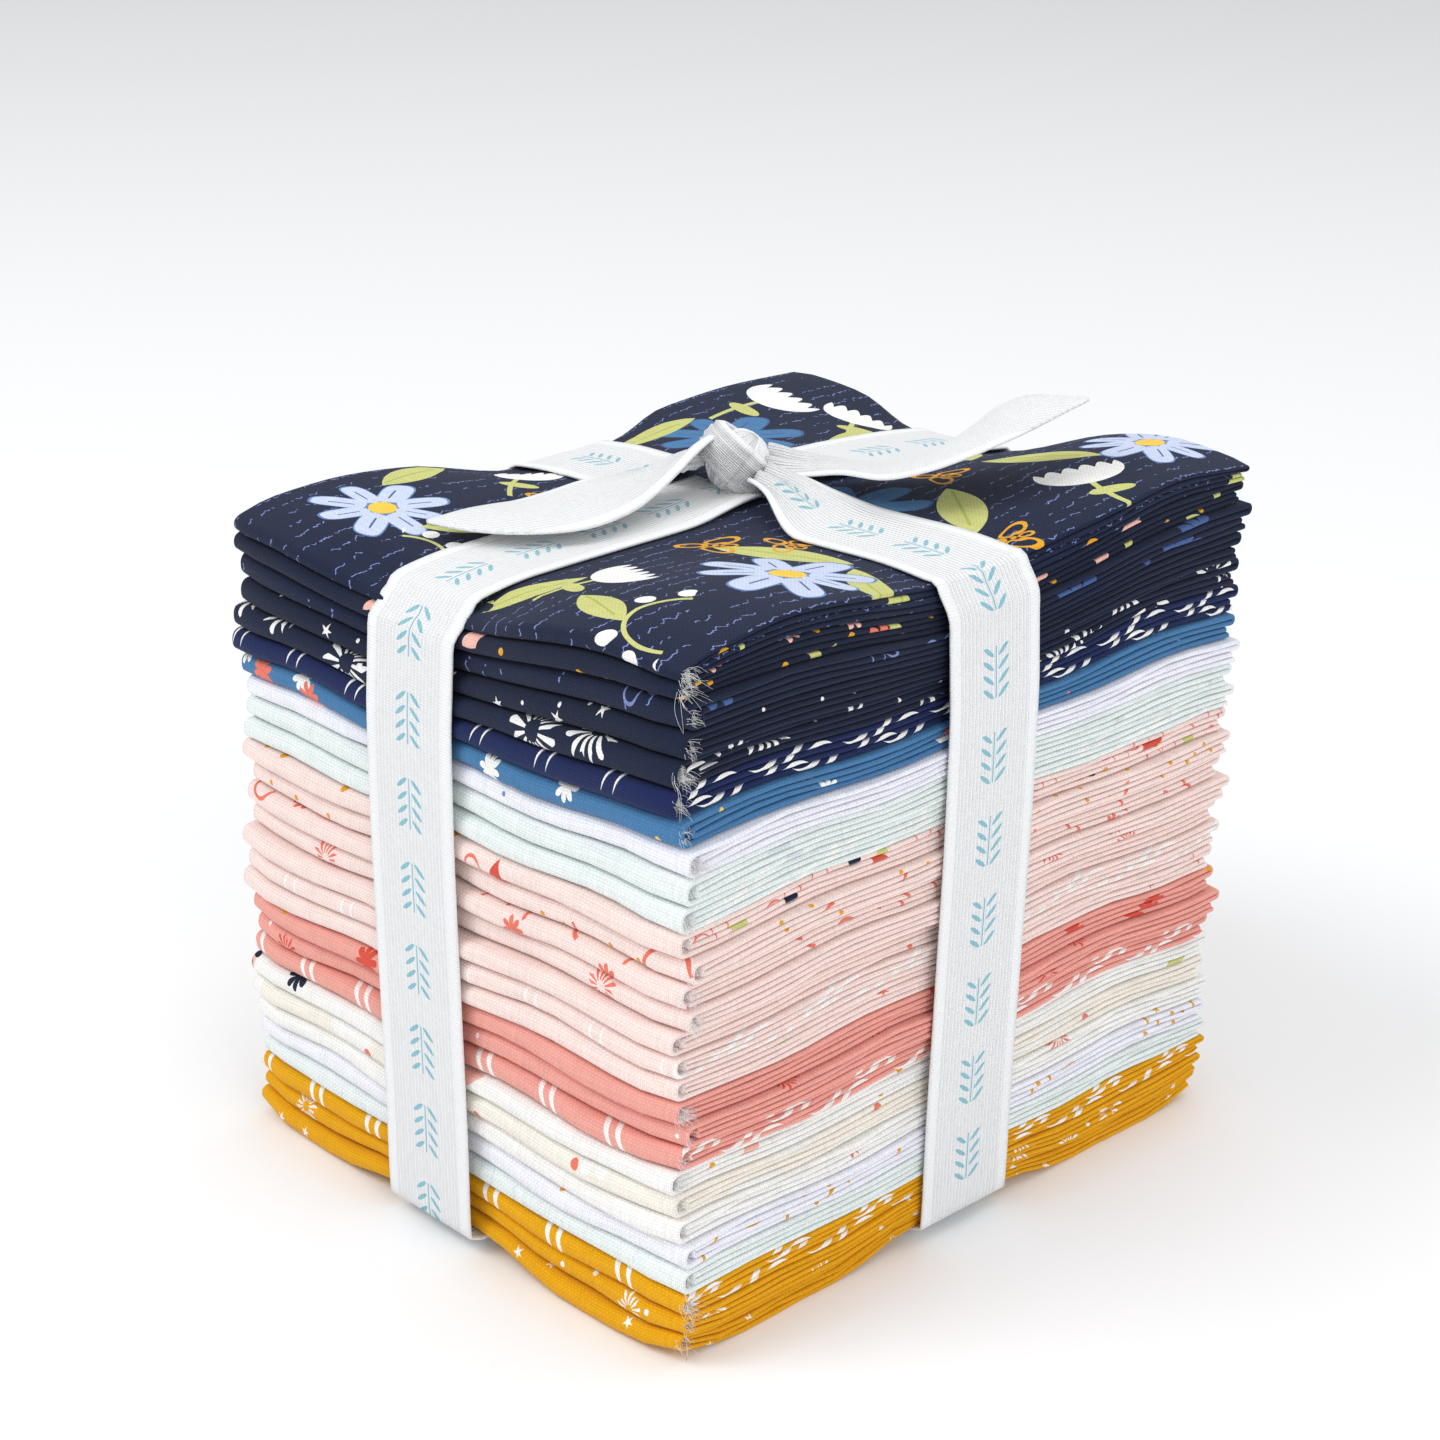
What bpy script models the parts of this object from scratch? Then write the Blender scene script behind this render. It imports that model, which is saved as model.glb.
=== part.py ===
"""A bundle of 28 fat quarters, each folded in four both ways, tied crosswise with twill tape.

Frame: metres, +Z up, origin at the centre of the resting face. X runs along the folds and Y across
them, so the -Y face shows one round fold for each fat quarter and the +X face shows its layers.
"""

import math
from collections import namedtuple

import bmesh
import bpy
from mathutils import Matrix, Vector

MM = 0.001

# Driving dimensions
FOLDED_WIDTH = 114 * MM  # 18 in folded in four, along X
FOLDED_DEPTH = 140 * MM  # 22 in folded in four, along Y
SHEET = 0.90 * MM  # four plies of quilting cotton, pressed flat by the first two folds
LAYER_GAP = 0.15 * MM  # between the layers of one fat quarter
PIECE_GAP = 0.30 * MM  # between one fat quarter and the next, and round the tape
LAYERS = 4
RAW_END_INSET = 0.6 * MM  # how far the lowest layer's raw end stays inside the back fold
RAW_END_STEP = 0.8 * MM  # and the other raw end inside that one
TAPE_WIDTH = 22 * MM
TAPE_THICKNESS = 1.0 * MM

HALF_X = FOLDED_WIDTH / 2
HALF_Y = FOLDED_DEPTH / 2
LAYER_PITCH = SHEET + LAYER_GAP
PIECE_HEIGHT = LAYERS * SHEET + (LAYERS - 1) * LAYER_GAP
PIECE_PITCH = PIECE_HEIGHT + PIECE_GAP

# How the tied stack settles
SLOPE_X = 2.2 * MM / HALF_X  # the stack is a little higher towards +X and +Y
SLOPE_Y = 2.15 * MM / HALF_Y
TAPE_X_TOP = -8 * MM  # where the tape that runs along Y crosses, on the top and underneath
TAPE_X_BOTTOM = -2 * MM
TAPE_Y_TOP = 1 * MM
TAPE_Y_BOTTOM = -1 * MM
FURROW_FLAT = 12 * MM  # half-width of the flat floor of the furrow under a tape
FURROW_REACH = 32 * MM  # where the cloth is back at its full height
FURROW_DEPTH = 5.2 * MM
FURROW_BELOW = 2.2 * MM  # the part of that depth that lies below the stack's plain top
PRESSED_HEIGHT = 6 * PIECE_PITCH  # how far down from the top the furrows reach
CORNER_DROP = 3.0 * MM
EDGE_DROP = 1.6 * MM  # the tape bends the top edges down, over the last EDGE_REACH
EDGE_REACH = 18 * MM
EDGE_DRAW = 2.5 * MM  # and draws them in
LIFTED_HEIGHT = 3 * PIECE_PITCH  # how far up the furrows underneath reach
UNDER_FURROW = 3.0 * MM
UNDER_CORNER = 2.5 * MM
UNDER_CORNER_FROM = 0.8

# The knot and the tape that leaves it
KNOT_CENTRE = Vector((-6.5, 3.5, 124.6)) * MM
KNOT_SIZE = Vector((15, 17, 9.5)) * MM
KNOT_TURN = math.radians(35)
KNOT_REACH = 9.2 * MM  # where the tape starts, from the middle of the knot
KNOT_TAPE_WIDTH = 9 * MM
KNOT_LIFT = 2.8 * MM
GATHERED_LENGTH = 17 * MM  # over which the tape opens to its full width
LOWERED_LENGTH = 21 * MM  # over which it comes down to lie on the cloth
TAPE_BEND = 3.9 * MM  # radius of its middle at the stack's edges
TAPE_BEND_INSET = 2.0 * MM  # how far inside the cloth's corner that bend is centred
TOP_STEPS = [step * MM for step in (0, 4, 9, 17, 21, 30)]  # where its route over the top has points
EDGE_SHARES = (1, 0.65, 0.35)  # the same near the edge, as shares of EDGE_REACH
SIDE_SHARES = (0.2, 0.4, 0.65, 1)  # and down the side, as shares of PRESSED_HEIGHT
CLOSEST_POINTS = 3 * MM
CROSSOVER_LENGTH = 20 * MM  # underneath, one tape dips below the other over this length each way
CROSSOVER_FLAT = 12 * MM  # and lies flat below it over this length

NAVY = (0.016, 0.024, 0.060)
ROYAL = (0.012, 0.024, 0.115)
BLUE = (0.045, 0.170, 0.370)
LAVENDER = (0.860, 0.870, 0.950)
MINT = (0.770, 0.855, 0.850)
PINK = (0.915, 0.690, 0.650)
SALMON = (0.840, 0.310, 0.270)
WHITE = (0.920, 0.905, 0.870)
CREAM = (0.900, 0.840, 0.740)
MUSTARD = (0.780, 0.360, 0.004)
TAPE_WHITE = (0.890, 0.905, 0.910)

# One row for each fat quarter, from the top of the stack down. front, right, back and left are how
# far it stands out of the plain box on that side, and hollow is the room inside its round front
# fold, all in mm.
Quarter = namedtuple("Quarter", "colour front right back left hollow")
QUARTERS = (
    Quarter(NAVY, 0.6, -0.7, 0.4, 0.3, 1.3),
    Quarter(NAVY, 0.8, -0.8, -0.5, 0.5, 1.0),
    Quarter(NAVY, -0.2, 0.4, 0.7, -0.3, 1.4),
    Quarter(NAVY, 0.1, 0.1, -0.9, -0.6, 0.9),
    Quarter(NAVY, 1.0, -1.0, 0.2, 0.7, 1.5),
    Quarter(ROYAL, 1.1, -1.1, 1.0, 0.9, 1.2),
    Quarter(BLUE, 0.3, -0.3, -0.3, -0.2, 1.0),
    Quarter(LAVENDER, -0.7, 0.8, 0.5, -0.8, 1.6),
    Quarter(MINT, -0.3, 0.4, -0.7, 0.4, 1.1),
    Quarter(MINT, 0.1, 0.0, 0.9, 0.1, 1.4),
    Quarter(PINK, 0.4, -0.4, -0.4, 0.8, 1.0),
    Quarter(PINK, -0.9, 1.0, 0.3, -0.9, 1.3),
    Quarter(PINK, 0.2, -0.1, -1.0, 0.2, 0.9),
    Quarter(PINK, -0.8, 0.9, 0.8, -0.5, 1.5),
    Quarter(PINK, 1.0, -1.0, -0.2, 0.6, 1.1),
    Quarter(PINK, 0.4, -0.4, 0.6, 0.0, 1.4),
    Quarter(PINK, 0.5, -0.5, -0.8, 0.9, 1.2),
    Quarter(SALMON, 0.3, -0.3, 0.1, -0.4, 1.0),
    Quarter(SALMON, -0.8, 0.9, 1.0, -0.7, 1.5),
    Quarter(SALMON, 0.0, 0.0, -0.6, 0.3, 1.2),
    Quarter(WHITE, 0.7, -0.7, 0.4, 0.8, 0.9),
    Quarter(CREAM, 0.4, -0.4, -0.3, 0.5, 1.3),
    Quarter(WHITE, 0.0, 0.1, 0.9, -0.1, 1.1),
    Quarter(LAVENDER, -0.6, 0.7, -0.5, -0.6, 1.6),
    Quarter(MINT, -0.8, 0.8, 0.2, -0.3, 1.2),
    Quarter(MUSTARD, -0.7, 0.7, 0.7, 0.1, 1.4),
    Quarter(MUSTARD, -1.0, 1.0, -0.6, -0.9, 1.5),
    Quarter(MUSTARD, -0.2, 0.3, -1.1, -0.2, 1.3),
)
STAND_OUT = 1.2 * MM  # more than any row's front, right, back or left
STACK_HEIGHT = len(QUARTERS) * PIECE_PITCH - PIECE_GAP

# The free ends, a row for each section from the knot to the tip, in mm. sweep is the heading in
# which the tape's width points, in degrees from +X, and tilt raises that side of it.
Section = namedtuple("Section", "x y z width sweep tilt")
LEFT_TAIL = (
    Section(-10.5, -6.5, 125.0, 9.0, 0, 0),
    Section(-13.0, -17.0, 122.8, 16.0, 0, 2),
    Section(-13.5, -26.0, 121.6, 21.0, 0, 3),
    Section(-14.0, -34.0, 121.2, 21.0, -6, 2),
    Section(-17.0, -40.5, 121.0, 17.5, -18, 0),
    Section(-21.5, -46.8, 120.9, 9.5, -28, -3),
    Section(-25.4, -51.8, 120.8, 2.0, -35, -3),
)
RIGHT_TAIL = (
    Section(1.2, 10.2, 125.2, 9.0, 118, -5),
    Section(8.5, 15.2, 124.6, 15.0, 122, -7),
    Section(16.5, 18.2, 125.3, 20.0, 127, -8),
    Section(23.0, 21.6, 127.8, 22.0, 130, -8),
    Section(27.0, 26.6, 131.0, 22.0, 134, -5),
    Section(29.8, 32.4, 134.2, 21.0, 136, 0),
    Section(33.4, 36.4, 136.6, 15.0, 138, 4),
    Section(37.6, 39.6, 138.2, 7.0, 140, 4),
    Section(40.6, 42.0, 139.2, 1.5, 142, 4),
)


def ramp(value, start, end):
    """0 before start, 1 after end, and smooth between."""
    t = min(max((value - start) / (end - start), 0.0), 1.0)
    return t * t * (3 - 2 * t)


def between(low, high, t):
    return low + (high - low) * t


def tape_centre(z):
    """(x, y) of the middle of the tape along Y and of the tape along X, at this height."""
    t = min(max(z / STACK_HEIGHT, 0.0), 1.0)
    return between(TAPE_X_BOTTOM, TAPE_X_TOP, t), between(TAPE_Y_BOTTOM, TAPE_Y_TOP, t)


def settled(x, y, z):
    """Where a point of the plain stack goes once the tape is tied."""
    tape_x, tape_y = tape_centre(z)
    clear_x = ramp(abs(x - tape_x), FURROW_FLAT, FURROW_REACH)
    clear_y = ramp(abs(y - tape_y), FURROW_FLAT, FURROW_REACH)
    side_x = min(abs(x) / HALF_X, 1.0)
    side_y = min(abs(y) / HALF_Y, 1.0)
    bend_x = ramp(abs(x), HALF_X - EDGE_REACH, HALF_X) * (1 - clear_y)
    bend_y = ramp(abs(y), HALF_Y - EDGE_REACH, HALF_Y) * (1 - clear_x)
    pressed = min(max((z - STACK_HEIGHT) / PRESSED_HEIGHT + 1, 0.0), 1.0) ** 1.5
    lifted = min(max(1 - z / LIFTED_HEIGHT, 0.0), 1.0)
    crown = FURROW_DEPTH * clear_x * clear_y - CORNER_DROP * (side_x * side_y) ** 3
    top = crown - FURROW_BELOW - EDGE_DROP * max(bend_x, bend_y)
    corner = ramp(side_x, UNDER_CORNER_FROM, 1) * ramp(side_y, UNDER_CORNER_FROM, 1)
    under = UNDER_FURROW * (1 - clear_x * clear_y) + UNDER_CORNER * corner
    slope = (SLOPE_X * x + SLOPE_Y * y) * z / STACK_HEIGHT
    return Vector((
        x - math.copysign(EDGE_DRAW * bend_x * pressed, x),
        y - math.copysign(EDGE_DRAW * bend_y * pressed, y),
        z + slope + top * pressed + under * lifted,
    ))


def arc(y, z, radius, start, end, steps):
    """Points and outward directions along an arc in the YZ plane, angles in degrees from +Y."""
    found = []
    for step in range(steps + 1):
        angle = math.radians(between(start, end, step / steps))
        way = Vector((math.cos(angle), math.sin(angle)))
        found.append((Vector((y, z)) + way * radius, way))
    return found


def run(start, end, crossings, z, way):
    """The points where a flat layer from start to end passes each crossing."""
    low, high = sorted((start, end))
    passed = sorted((y for y in crossings if low < y < high), reverse=end < start)
    return [(Vector((y, z)), Vector((0, way))) for y in passed]


def fold_section(row, base, crossings):
    """The strip's back-and-forth path in YZ from raw end to raw end, each point with its outward way.

    It runs forward along the lowest layer, up round the front fold, back along the top layer, down
    round the back fold, forward along the third layer, round the inner front fold, and back along
    the second one.
    """
    heights = [base + SHEET / 2 + layer * LAYER_PITCH for layer in range(LAYERS)]
    outer = 1.5 * LAYER_PITCH
    inner = 0.5 * LAYER_PITCH
    front = -HALF_Y - row.front * MM + SHEET / 2 + outer
    inner_front = front + row.hollow * MM
    back = HALF_Y + row.back * MM - SHEET / 2 - inner
    raw = back - RAW_END_INSET
    raw_inner = raw - RAW_END_STEP
    path = [(Vector((raw, heights[0])), Vector((0, -1)))]
    path += run(raw, front, crossings, heights[0], -1)
    path += arc(front, base + PIECE_HEIGHT / 2, outer, 270, 90, steps=4)
    path += run(front, back, crossings, heights[3], 1)
    path += arc(back, (heights[2] + heights[3]) / 2, inner, 90, -90, steps=2)
    path += run(back, inner_front, crossings, heights[2], -1)
    loop = arc(inner_front, (heights[1] + heights[2]) / 2, inner, 90, 270, steps=2)
    path += [(point, -way) for point, way in loop]
    path += run(inner_front, raw_inner, crossings, heights[1], 1)
    path.append((Vector((raw_inner, heights[1])), Vector((0, 1))))
    return path


def section_stations(z, lowest):
    """The crossings along X and along Y that the cloth at this height bends at."""
    tape_x, tape_y = tape_centre(z)
    bends = (-FURROW_REACH, -FURROW_FLAT, FURROW_FLAT, FURROW_REACH)
    along_x = [tape_x + bend for bend in bends]
    along_y = [tape_y + bend for bend in bends]
    if lowest:
        along_x += [-UNDER_CORNER_FROM * HALF_X, UNDER_CORNER_FROM * HALF_X]
        along_y += [-UNDER_CORNER_FROM * HALF_Y, UNDER_CORNER_FROM * HALF_Y]
    return sorted(along_x), sorted(along_y)


def material(name, colour, roughness):
    made = bpy.data.materials.new(name)
    made.use_nodes = True
    shader = made.node_tree.nodes["Principled BSDF"]
    shader.inputs["Base Color"].default_value = (*colour, 1)
    shader.inputs["Roughness"].default_value = roughness
    shader.inputs["Metallic"].default_value = 0
    made.diffuse_color = (*colour, 1)
    return made


def add_object(name, bm, made_of, collection):
    mesh = bpy.data.meshes.new(name)
    bm.to_mesh(mesh)
    bm.free()
    mesh.materials.append(made_of)
    made = bpy.data.objects.new(name, mesh)
    collection.objects.link(made)
    return made


def split_alike(bm):
    """Splits every four-sided face from its -X-Y corner to its +X+Y one, so that layers bend alike."""
    for face in list(bm.faces):
        corners = sorted(face.verts, key=lambda vert: vert.co.x + vert.co.y + 0.01 * vert.co.z)
        low, high = corners[0], corners[-1]
        if not any(edge.other_vert(low) is high for edge in low.link_edges):
            bmesh.utils.face_split(face, low, high)


def fat_quarter(name, row, place, collection):
    """One folded fat quarter: its section, extruded along X and settled under the tape."""
    base = (len(QUARTERS) - 1 - place) * PIECE_PITCH
    pressed = base + PIECE_HEIGHT > STACK_HEIGHT - PRESSED_HEIGHT + PIECE_GAP
    lifted = base < LIFTED_HEIGHT - PIECE_GAP
    along_x, along_y = section_stations(base, base == 0) if pressed or lifted else ([], [])
    stations = [-HALF_X - row.left * MM, *along_x, HALF_X + row.right * MM]
    bm = bmesh.new()
    pairs = []
    for point, way in fold_section(row, base, along_y):
        sides = (point + way * SHEET / 2, point - way * SHEET / 2)
        pairs.append([bm.verts.new((stations[0], side.x, side.y)) for side in sides])
    faces = [bm.faces.new((a[0], b[0], b[1], a[1])) for a, b in zip(pairs, pairs[1:])]
    for number, station in enumerate(stations[1:]):
        grown = bmesh.ops.extrude_face_region(bm, geom=faces)["geom"]
        if number:
            bmesh.ops.delete(bm, geom=faces, context="FACES")
        faces = [item for item in grown if isinstance(item, bmesh.types.BMFace)]
        for item in grown:
            if isinstance(item, bmesh.types.BMVert):
                item.co.x = station
    split_alike(bm)
    for vert in bm.verts:
        vert.co = settled(*vert.co)
    bmesh.ops.recalc_face_normals(bm, faces=bm.faces)
    return add_object(name, bm, material(name, row.colour, 0.9), collection)


def tape_route(across, half, knot):
    """The tape's path in its own plane, as (distance along, height) from the knot round and back.

    across is True for the tape that runs along Y. half is the stack's half-length that way.
    """
    clear = PIECE_GAP + TAPE_THICKNESS / 2
    edge = half + STAND_OUT

    def cloth(along, z):
        tape_x, tape_y = tape_centre(z)
        spot = settled(tape_x, along, z) if across else settled(along, tape_y, z)
        return (spot.y if across else spot.x), spot.z

    def over_the_top(side):
        start = knot + side * KNOT_REACH
        far = [side * (half - EDGE_REACH * share) for share in EDGE_SHARES]
        near = [start + side * step for step in TOP_STEPS]
        near = [along for along in near if abs(along) < abs(far[0]) - CLOSEST_POINTS]
        for along in near + far:
            lift = KNOT_LIFT * (1 - ramp(abs(along - start), 0, LOWERED_LENGTH))
            yield along, cloth(along, STACK_HEIGHT)[1] + clear + lift

    def round_an_edge(side, reach, height, start, end):
        for point, _ in arc(reach, height, TAPE_BEND, start, end, steps=3):
            yield side * point.x, point.y

    def down_the_side(side):
        for share in SIDE_SHARES:
            along, z = cloth(side * edge, STACK_HEIGHT - share * PRESSED_HEIGHT)
            yield along + side * clear, z

    def underneath(side):
        level = UNDER_FURROW - clear
        yield side * (edge - 2 * TAPE_BEND), level
        if not across:
            middle = tape_centre(0)[0]
            yield middle + side * CROSSOVER_LENGTH, level
            yield middle + side * CROSSOVER_FLAT, level - TAPE_THICKNESS - PIECE_GAP

    halves = []
    for side in (-1, 1):
        corner, top = cloth(side * edge, STACK_HEIGHT)
        halves.append([
            *over_the_top(side),
            *round_an_edge(side, abs(corner) - TAPE_BEND_INSET, top - TAPE_BEND_INSET, 90, 0),
            *down_the_side(side),
            *round_an_edge(side, edge - TAPE_BEND_INSET, UNDER_FURROW + TAPE_BEND_INSET, 0, -90),
            *underneath(side),
        ])
    return halves[0] + halves[1][::-1]


def tape(name, across, made_of, collection):
    """The tape round the stack one way: an open strip along its route, thickened."""
    knot = KNOT_CENTRE.y if across else KNOT_CENTRE.x
    route = tape_route(across, HALF_Y if across else HALF_X, knot)
    bm = bmesh.new()
    rows = []
    for along, z in route:
        tape_x, tape_y = tape_centre(z)
        from_knot = abs(along - knot) - KNOT_REACH
        opened = ramp(from_knot, 0, GATHERED_LENGTH) if z > STACK_HEIGHT / 2 else 1
        width = between(KNOT_TAPE_WIDTH, TAPE_WIDTH, opened)
        row = []
        for share in (-0.5, 0.5):
            aside = share * width
            if across:
                spot = (tape_x + aside, along, z + aside * SLOPE_X * z / STACK_HEIGHT)
            else:
                spot = (along, tape_y + aside, z + aside * SLOPE_Y * z / STACK_HEIGHT)
            row.append(bm.verts.new(spot))
        rows.append(row)
    return strip(name, bm, rows, made_of, collection)


def strip(name, bm, rows, made_of, collection):
    """Rows of verts joined into an open surface, and thickened about its middle."""
    for a, b in zip(rows, rows[1:]):
        for k in range(len(a) - 1):
            bm.faces.new((a[k], a[k + 1], b[k + 1], b[k]))
    made = add_object(name, bm, made_of, collection)
    solid = made.modifiers.new("Thickness", "SOLIDIFY")
    solid.thickness = TAPE_THICKNESS
    solid.offset = 0
    solid.use_even_offset = True
    return made


def tail(name, sections, made_of, collection):
    """A free end of the tape, through its sections."""
    bm = bmesh.new()
    rows = []
    for row in sections:
        sweep, tilt = math.radians(row.sweep), math.radians(row.tilt)
        way = Vector((math.cos(sweep) * math.cos(tilt), math.sin(sweep) * math.cos(tilt), math.sin(tilt)))
        middle = Vector((row.x, row.y, row.z))
        rows.append([bm.verts.new((middle + way * row.width * share) * MM) for share in (-0.5, 0, 0.5)])
    return strip(name, bm, rows, made_of, collection)


def knot(name, made_of, collection):
    """The pulled-tight knot: a rounded lump, narrower where the tape wraps round its middle."""
    bm = bmesh.new()
    bmesh.ops.create_cube(bm, size=1)
    bmesh.ops.subdivide_edges(bm, edges=bm.edges[:], cuts=1, use_grid_fill=True)
    for vert in bm.verts:
        if abs(vert.co.y) < 0.1:
            vert.co.z *= 1.12
            vert.co.x *= 0.9
        else:
            vert.co.z *= 0.86
    turn = Matrix.Rotation(KNOT_TURN, 4, "Z")
    for vert in bm.verts:
        vert.co = KNOT_CENTRE + turn @ Vector(a * b for a, b in zip(vert.co, KNOT_SIZE))
    made = add_object(name, bm, made_of, collection)
    smooth = made.modifiers.new("Smooth", "SUBSURF")
    smooth.levels = 1
    smooth.render_levels = 1
    return made


def clear_scene():
    for old in list(bpy.data.objects):
        bpy.data.objects.remove(old, do_unlink=True)


def main():
    clear_scene()
    bundle = bpy.data.collections.new("fat_quarter_bundle")
    bpy.context.scene.collection.children.link(bundle)
    for place, row in enumerate(QUARTERS):
        fat_quarter(f"fat_quarter_{place + 1:02d}", row, place, bundle)
    cotton_tape = material("cotton_tape", TAPE_WHITE, 0.85)
    tape("tape_across_folds", True, cotton_tape, bundle)
    tape("tape_along_folds", False, cotton_tape, bundle)
    knot("tape_knot", cotton_tape, bundle)
    tail("tape_tail_left", LEFT_TAIL, cotton_tape, bundle)
    tail("tape_tail_right", RIGHT_TAIL, cotton_tape, bundle)


main()
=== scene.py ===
"""Looks of a bundle of 28 fat quarters, each folded in four both ways, tied crosswise with twill tape.

Metres, +Z up, origin at the centre of the resting face. X runs along the folds and Y across them,
so the -Y face shows one round fold for each fat quarter and the +X face shows its layers.
"""

import math
import random
from collections import namedtuple

import bpy
import numpy as np
from mathutils import Matrix, Vector


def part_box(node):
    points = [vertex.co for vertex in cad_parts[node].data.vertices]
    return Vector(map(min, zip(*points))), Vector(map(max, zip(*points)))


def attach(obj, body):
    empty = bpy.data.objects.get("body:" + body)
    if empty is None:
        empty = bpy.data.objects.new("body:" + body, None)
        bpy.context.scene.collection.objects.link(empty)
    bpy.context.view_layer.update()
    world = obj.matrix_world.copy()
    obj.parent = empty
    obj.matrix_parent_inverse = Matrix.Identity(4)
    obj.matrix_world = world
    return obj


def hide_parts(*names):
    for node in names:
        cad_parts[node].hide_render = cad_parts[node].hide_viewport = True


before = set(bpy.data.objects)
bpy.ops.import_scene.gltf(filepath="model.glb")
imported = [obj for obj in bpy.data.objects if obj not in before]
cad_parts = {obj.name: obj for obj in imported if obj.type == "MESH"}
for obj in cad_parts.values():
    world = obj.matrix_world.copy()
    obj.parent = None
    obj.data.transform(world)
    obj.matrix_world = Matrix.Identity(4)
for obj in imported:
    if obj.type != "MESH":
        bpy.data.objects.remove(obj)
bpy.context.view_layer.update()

MM = 0.001
TAU = 2 * math.pi

# The folded cloth
CUT_WIDTH = 457 * MM  # 18 in, folded in four along X
CUT_LENGTH = 559 * MM  # 22 in, folded in four along Y
HALF_X = 57 * MM
HALF_Y = 70 * MM
STRIP = 0.90 * MM  # four plies pressed flat
LAYER_PITCH = 1.05 * MM
PIECE_HEIGHT = 4.05 * MM
PIECE_PITCH = 4.35 * MM
PIECES = sum(name.startswith("fat_quarter_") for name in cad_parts)
STACK_HEIGHT = PIECES * PIECE_PITCH - 0.30 * MM
OUTER_PLY = 0.43 * MM  # how far the outer and the inner plies lie from the strip's middle
INNER_PLY = 0.14 * MM

# How the tied stack settles
SLOPE_X = 2.2 * MM / HALF_X
SLOPE_Y = 2.15 * MM / HALF_Y
TAPE_X_TOP = -8 * MM
TAPE_X_BOTTOM = -2 * MM
TAPE_Y_TOP = 1 * MM
TAPE_Y_BOTTOM = -1 * MM
FURROW_FLAT = 3 * MM  # the cloth rises slowly from the tape's middle out to FURROW_REACH
FURROW_REACH = 52 * MM
FURROW_BELOW = 2.8 * MM
CROWN_FRONT_LEFT = 5.4 * MM  # how far each quarter of the top swells above the furrow's floor
CROWN_BACK_LEFT = 2.4 * MM
CROWN_FRONT_RIGHT = 6.2 * MM
CROWN_BACK_RIGHT = 6.0 * MM
PRESSED_HEIGHT = 9 * PIECE_PITCH
BACK_DROP = 3.2 * MM  # the tape bites deeper into the back edge
ROUNDED_HEIGHT = 2 * PIECE_PITCH  # how far down the top's corners and front edge are rounded off
CORNER_DROP_LEFT = 1.2 * MM
CORNER_DROP_RIGHT = 3.6 * MM
SHOULDER_DROP = 1.3 * MM
SHOULDER_REACH = 12 * MM
EDGE_DROP = 1.2 * MM
EDGE_FLAT = 12 * MM
EDGE_CLEAR = 32 * MM
EDGE_REACH = 18 * MM
EDGE_DRAW = 2.5 * MM
EDGE_ROUND = 2.0 * MM
LIFTED_HEIGHT = 3 * PIECE_PITCH
WAVE_HEIGHT = 0.55 * MM  # the layers' own waves, along Y and along X
WAVE_LENGTH_Y = 52 * MM
WAVE_LENGTH_X = 44 * MM
WAVE_DRIFT = 13 * MM  # how fast they change up the stack
END_SAG = 1.3 * MM  # how far the layers hang down at the back of the right side
UNDER_FURROW = 3.0 * MM
UNDER_CORNER = 2.5 * MM
UNDER_CORNER_FROM = 0.8
STAND_OUT = 1.2 * MM


def ramp(value, start, end):
    """0 before start, 1 after end, and smooth between."""
    t = np.clip((value - start) / (end - start), 0.0, 1.0)
    return t * t * (3 - 2 * t)


def between(low, high, t):
    return low + (high - low) * t


def tape_centre(z):
    """(x, y) of the middle of the tape along Y and of the tape along X, at this height."""
    t = np.clip(z / STACK_HEIGHT, 0.0, 1.0)
    return between(TAPE_X_BOTTOM, TAPE_X_TOP, t), between(TAPE_Y_BOTTOM, TAPE_Y_TOP, t)


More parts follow.
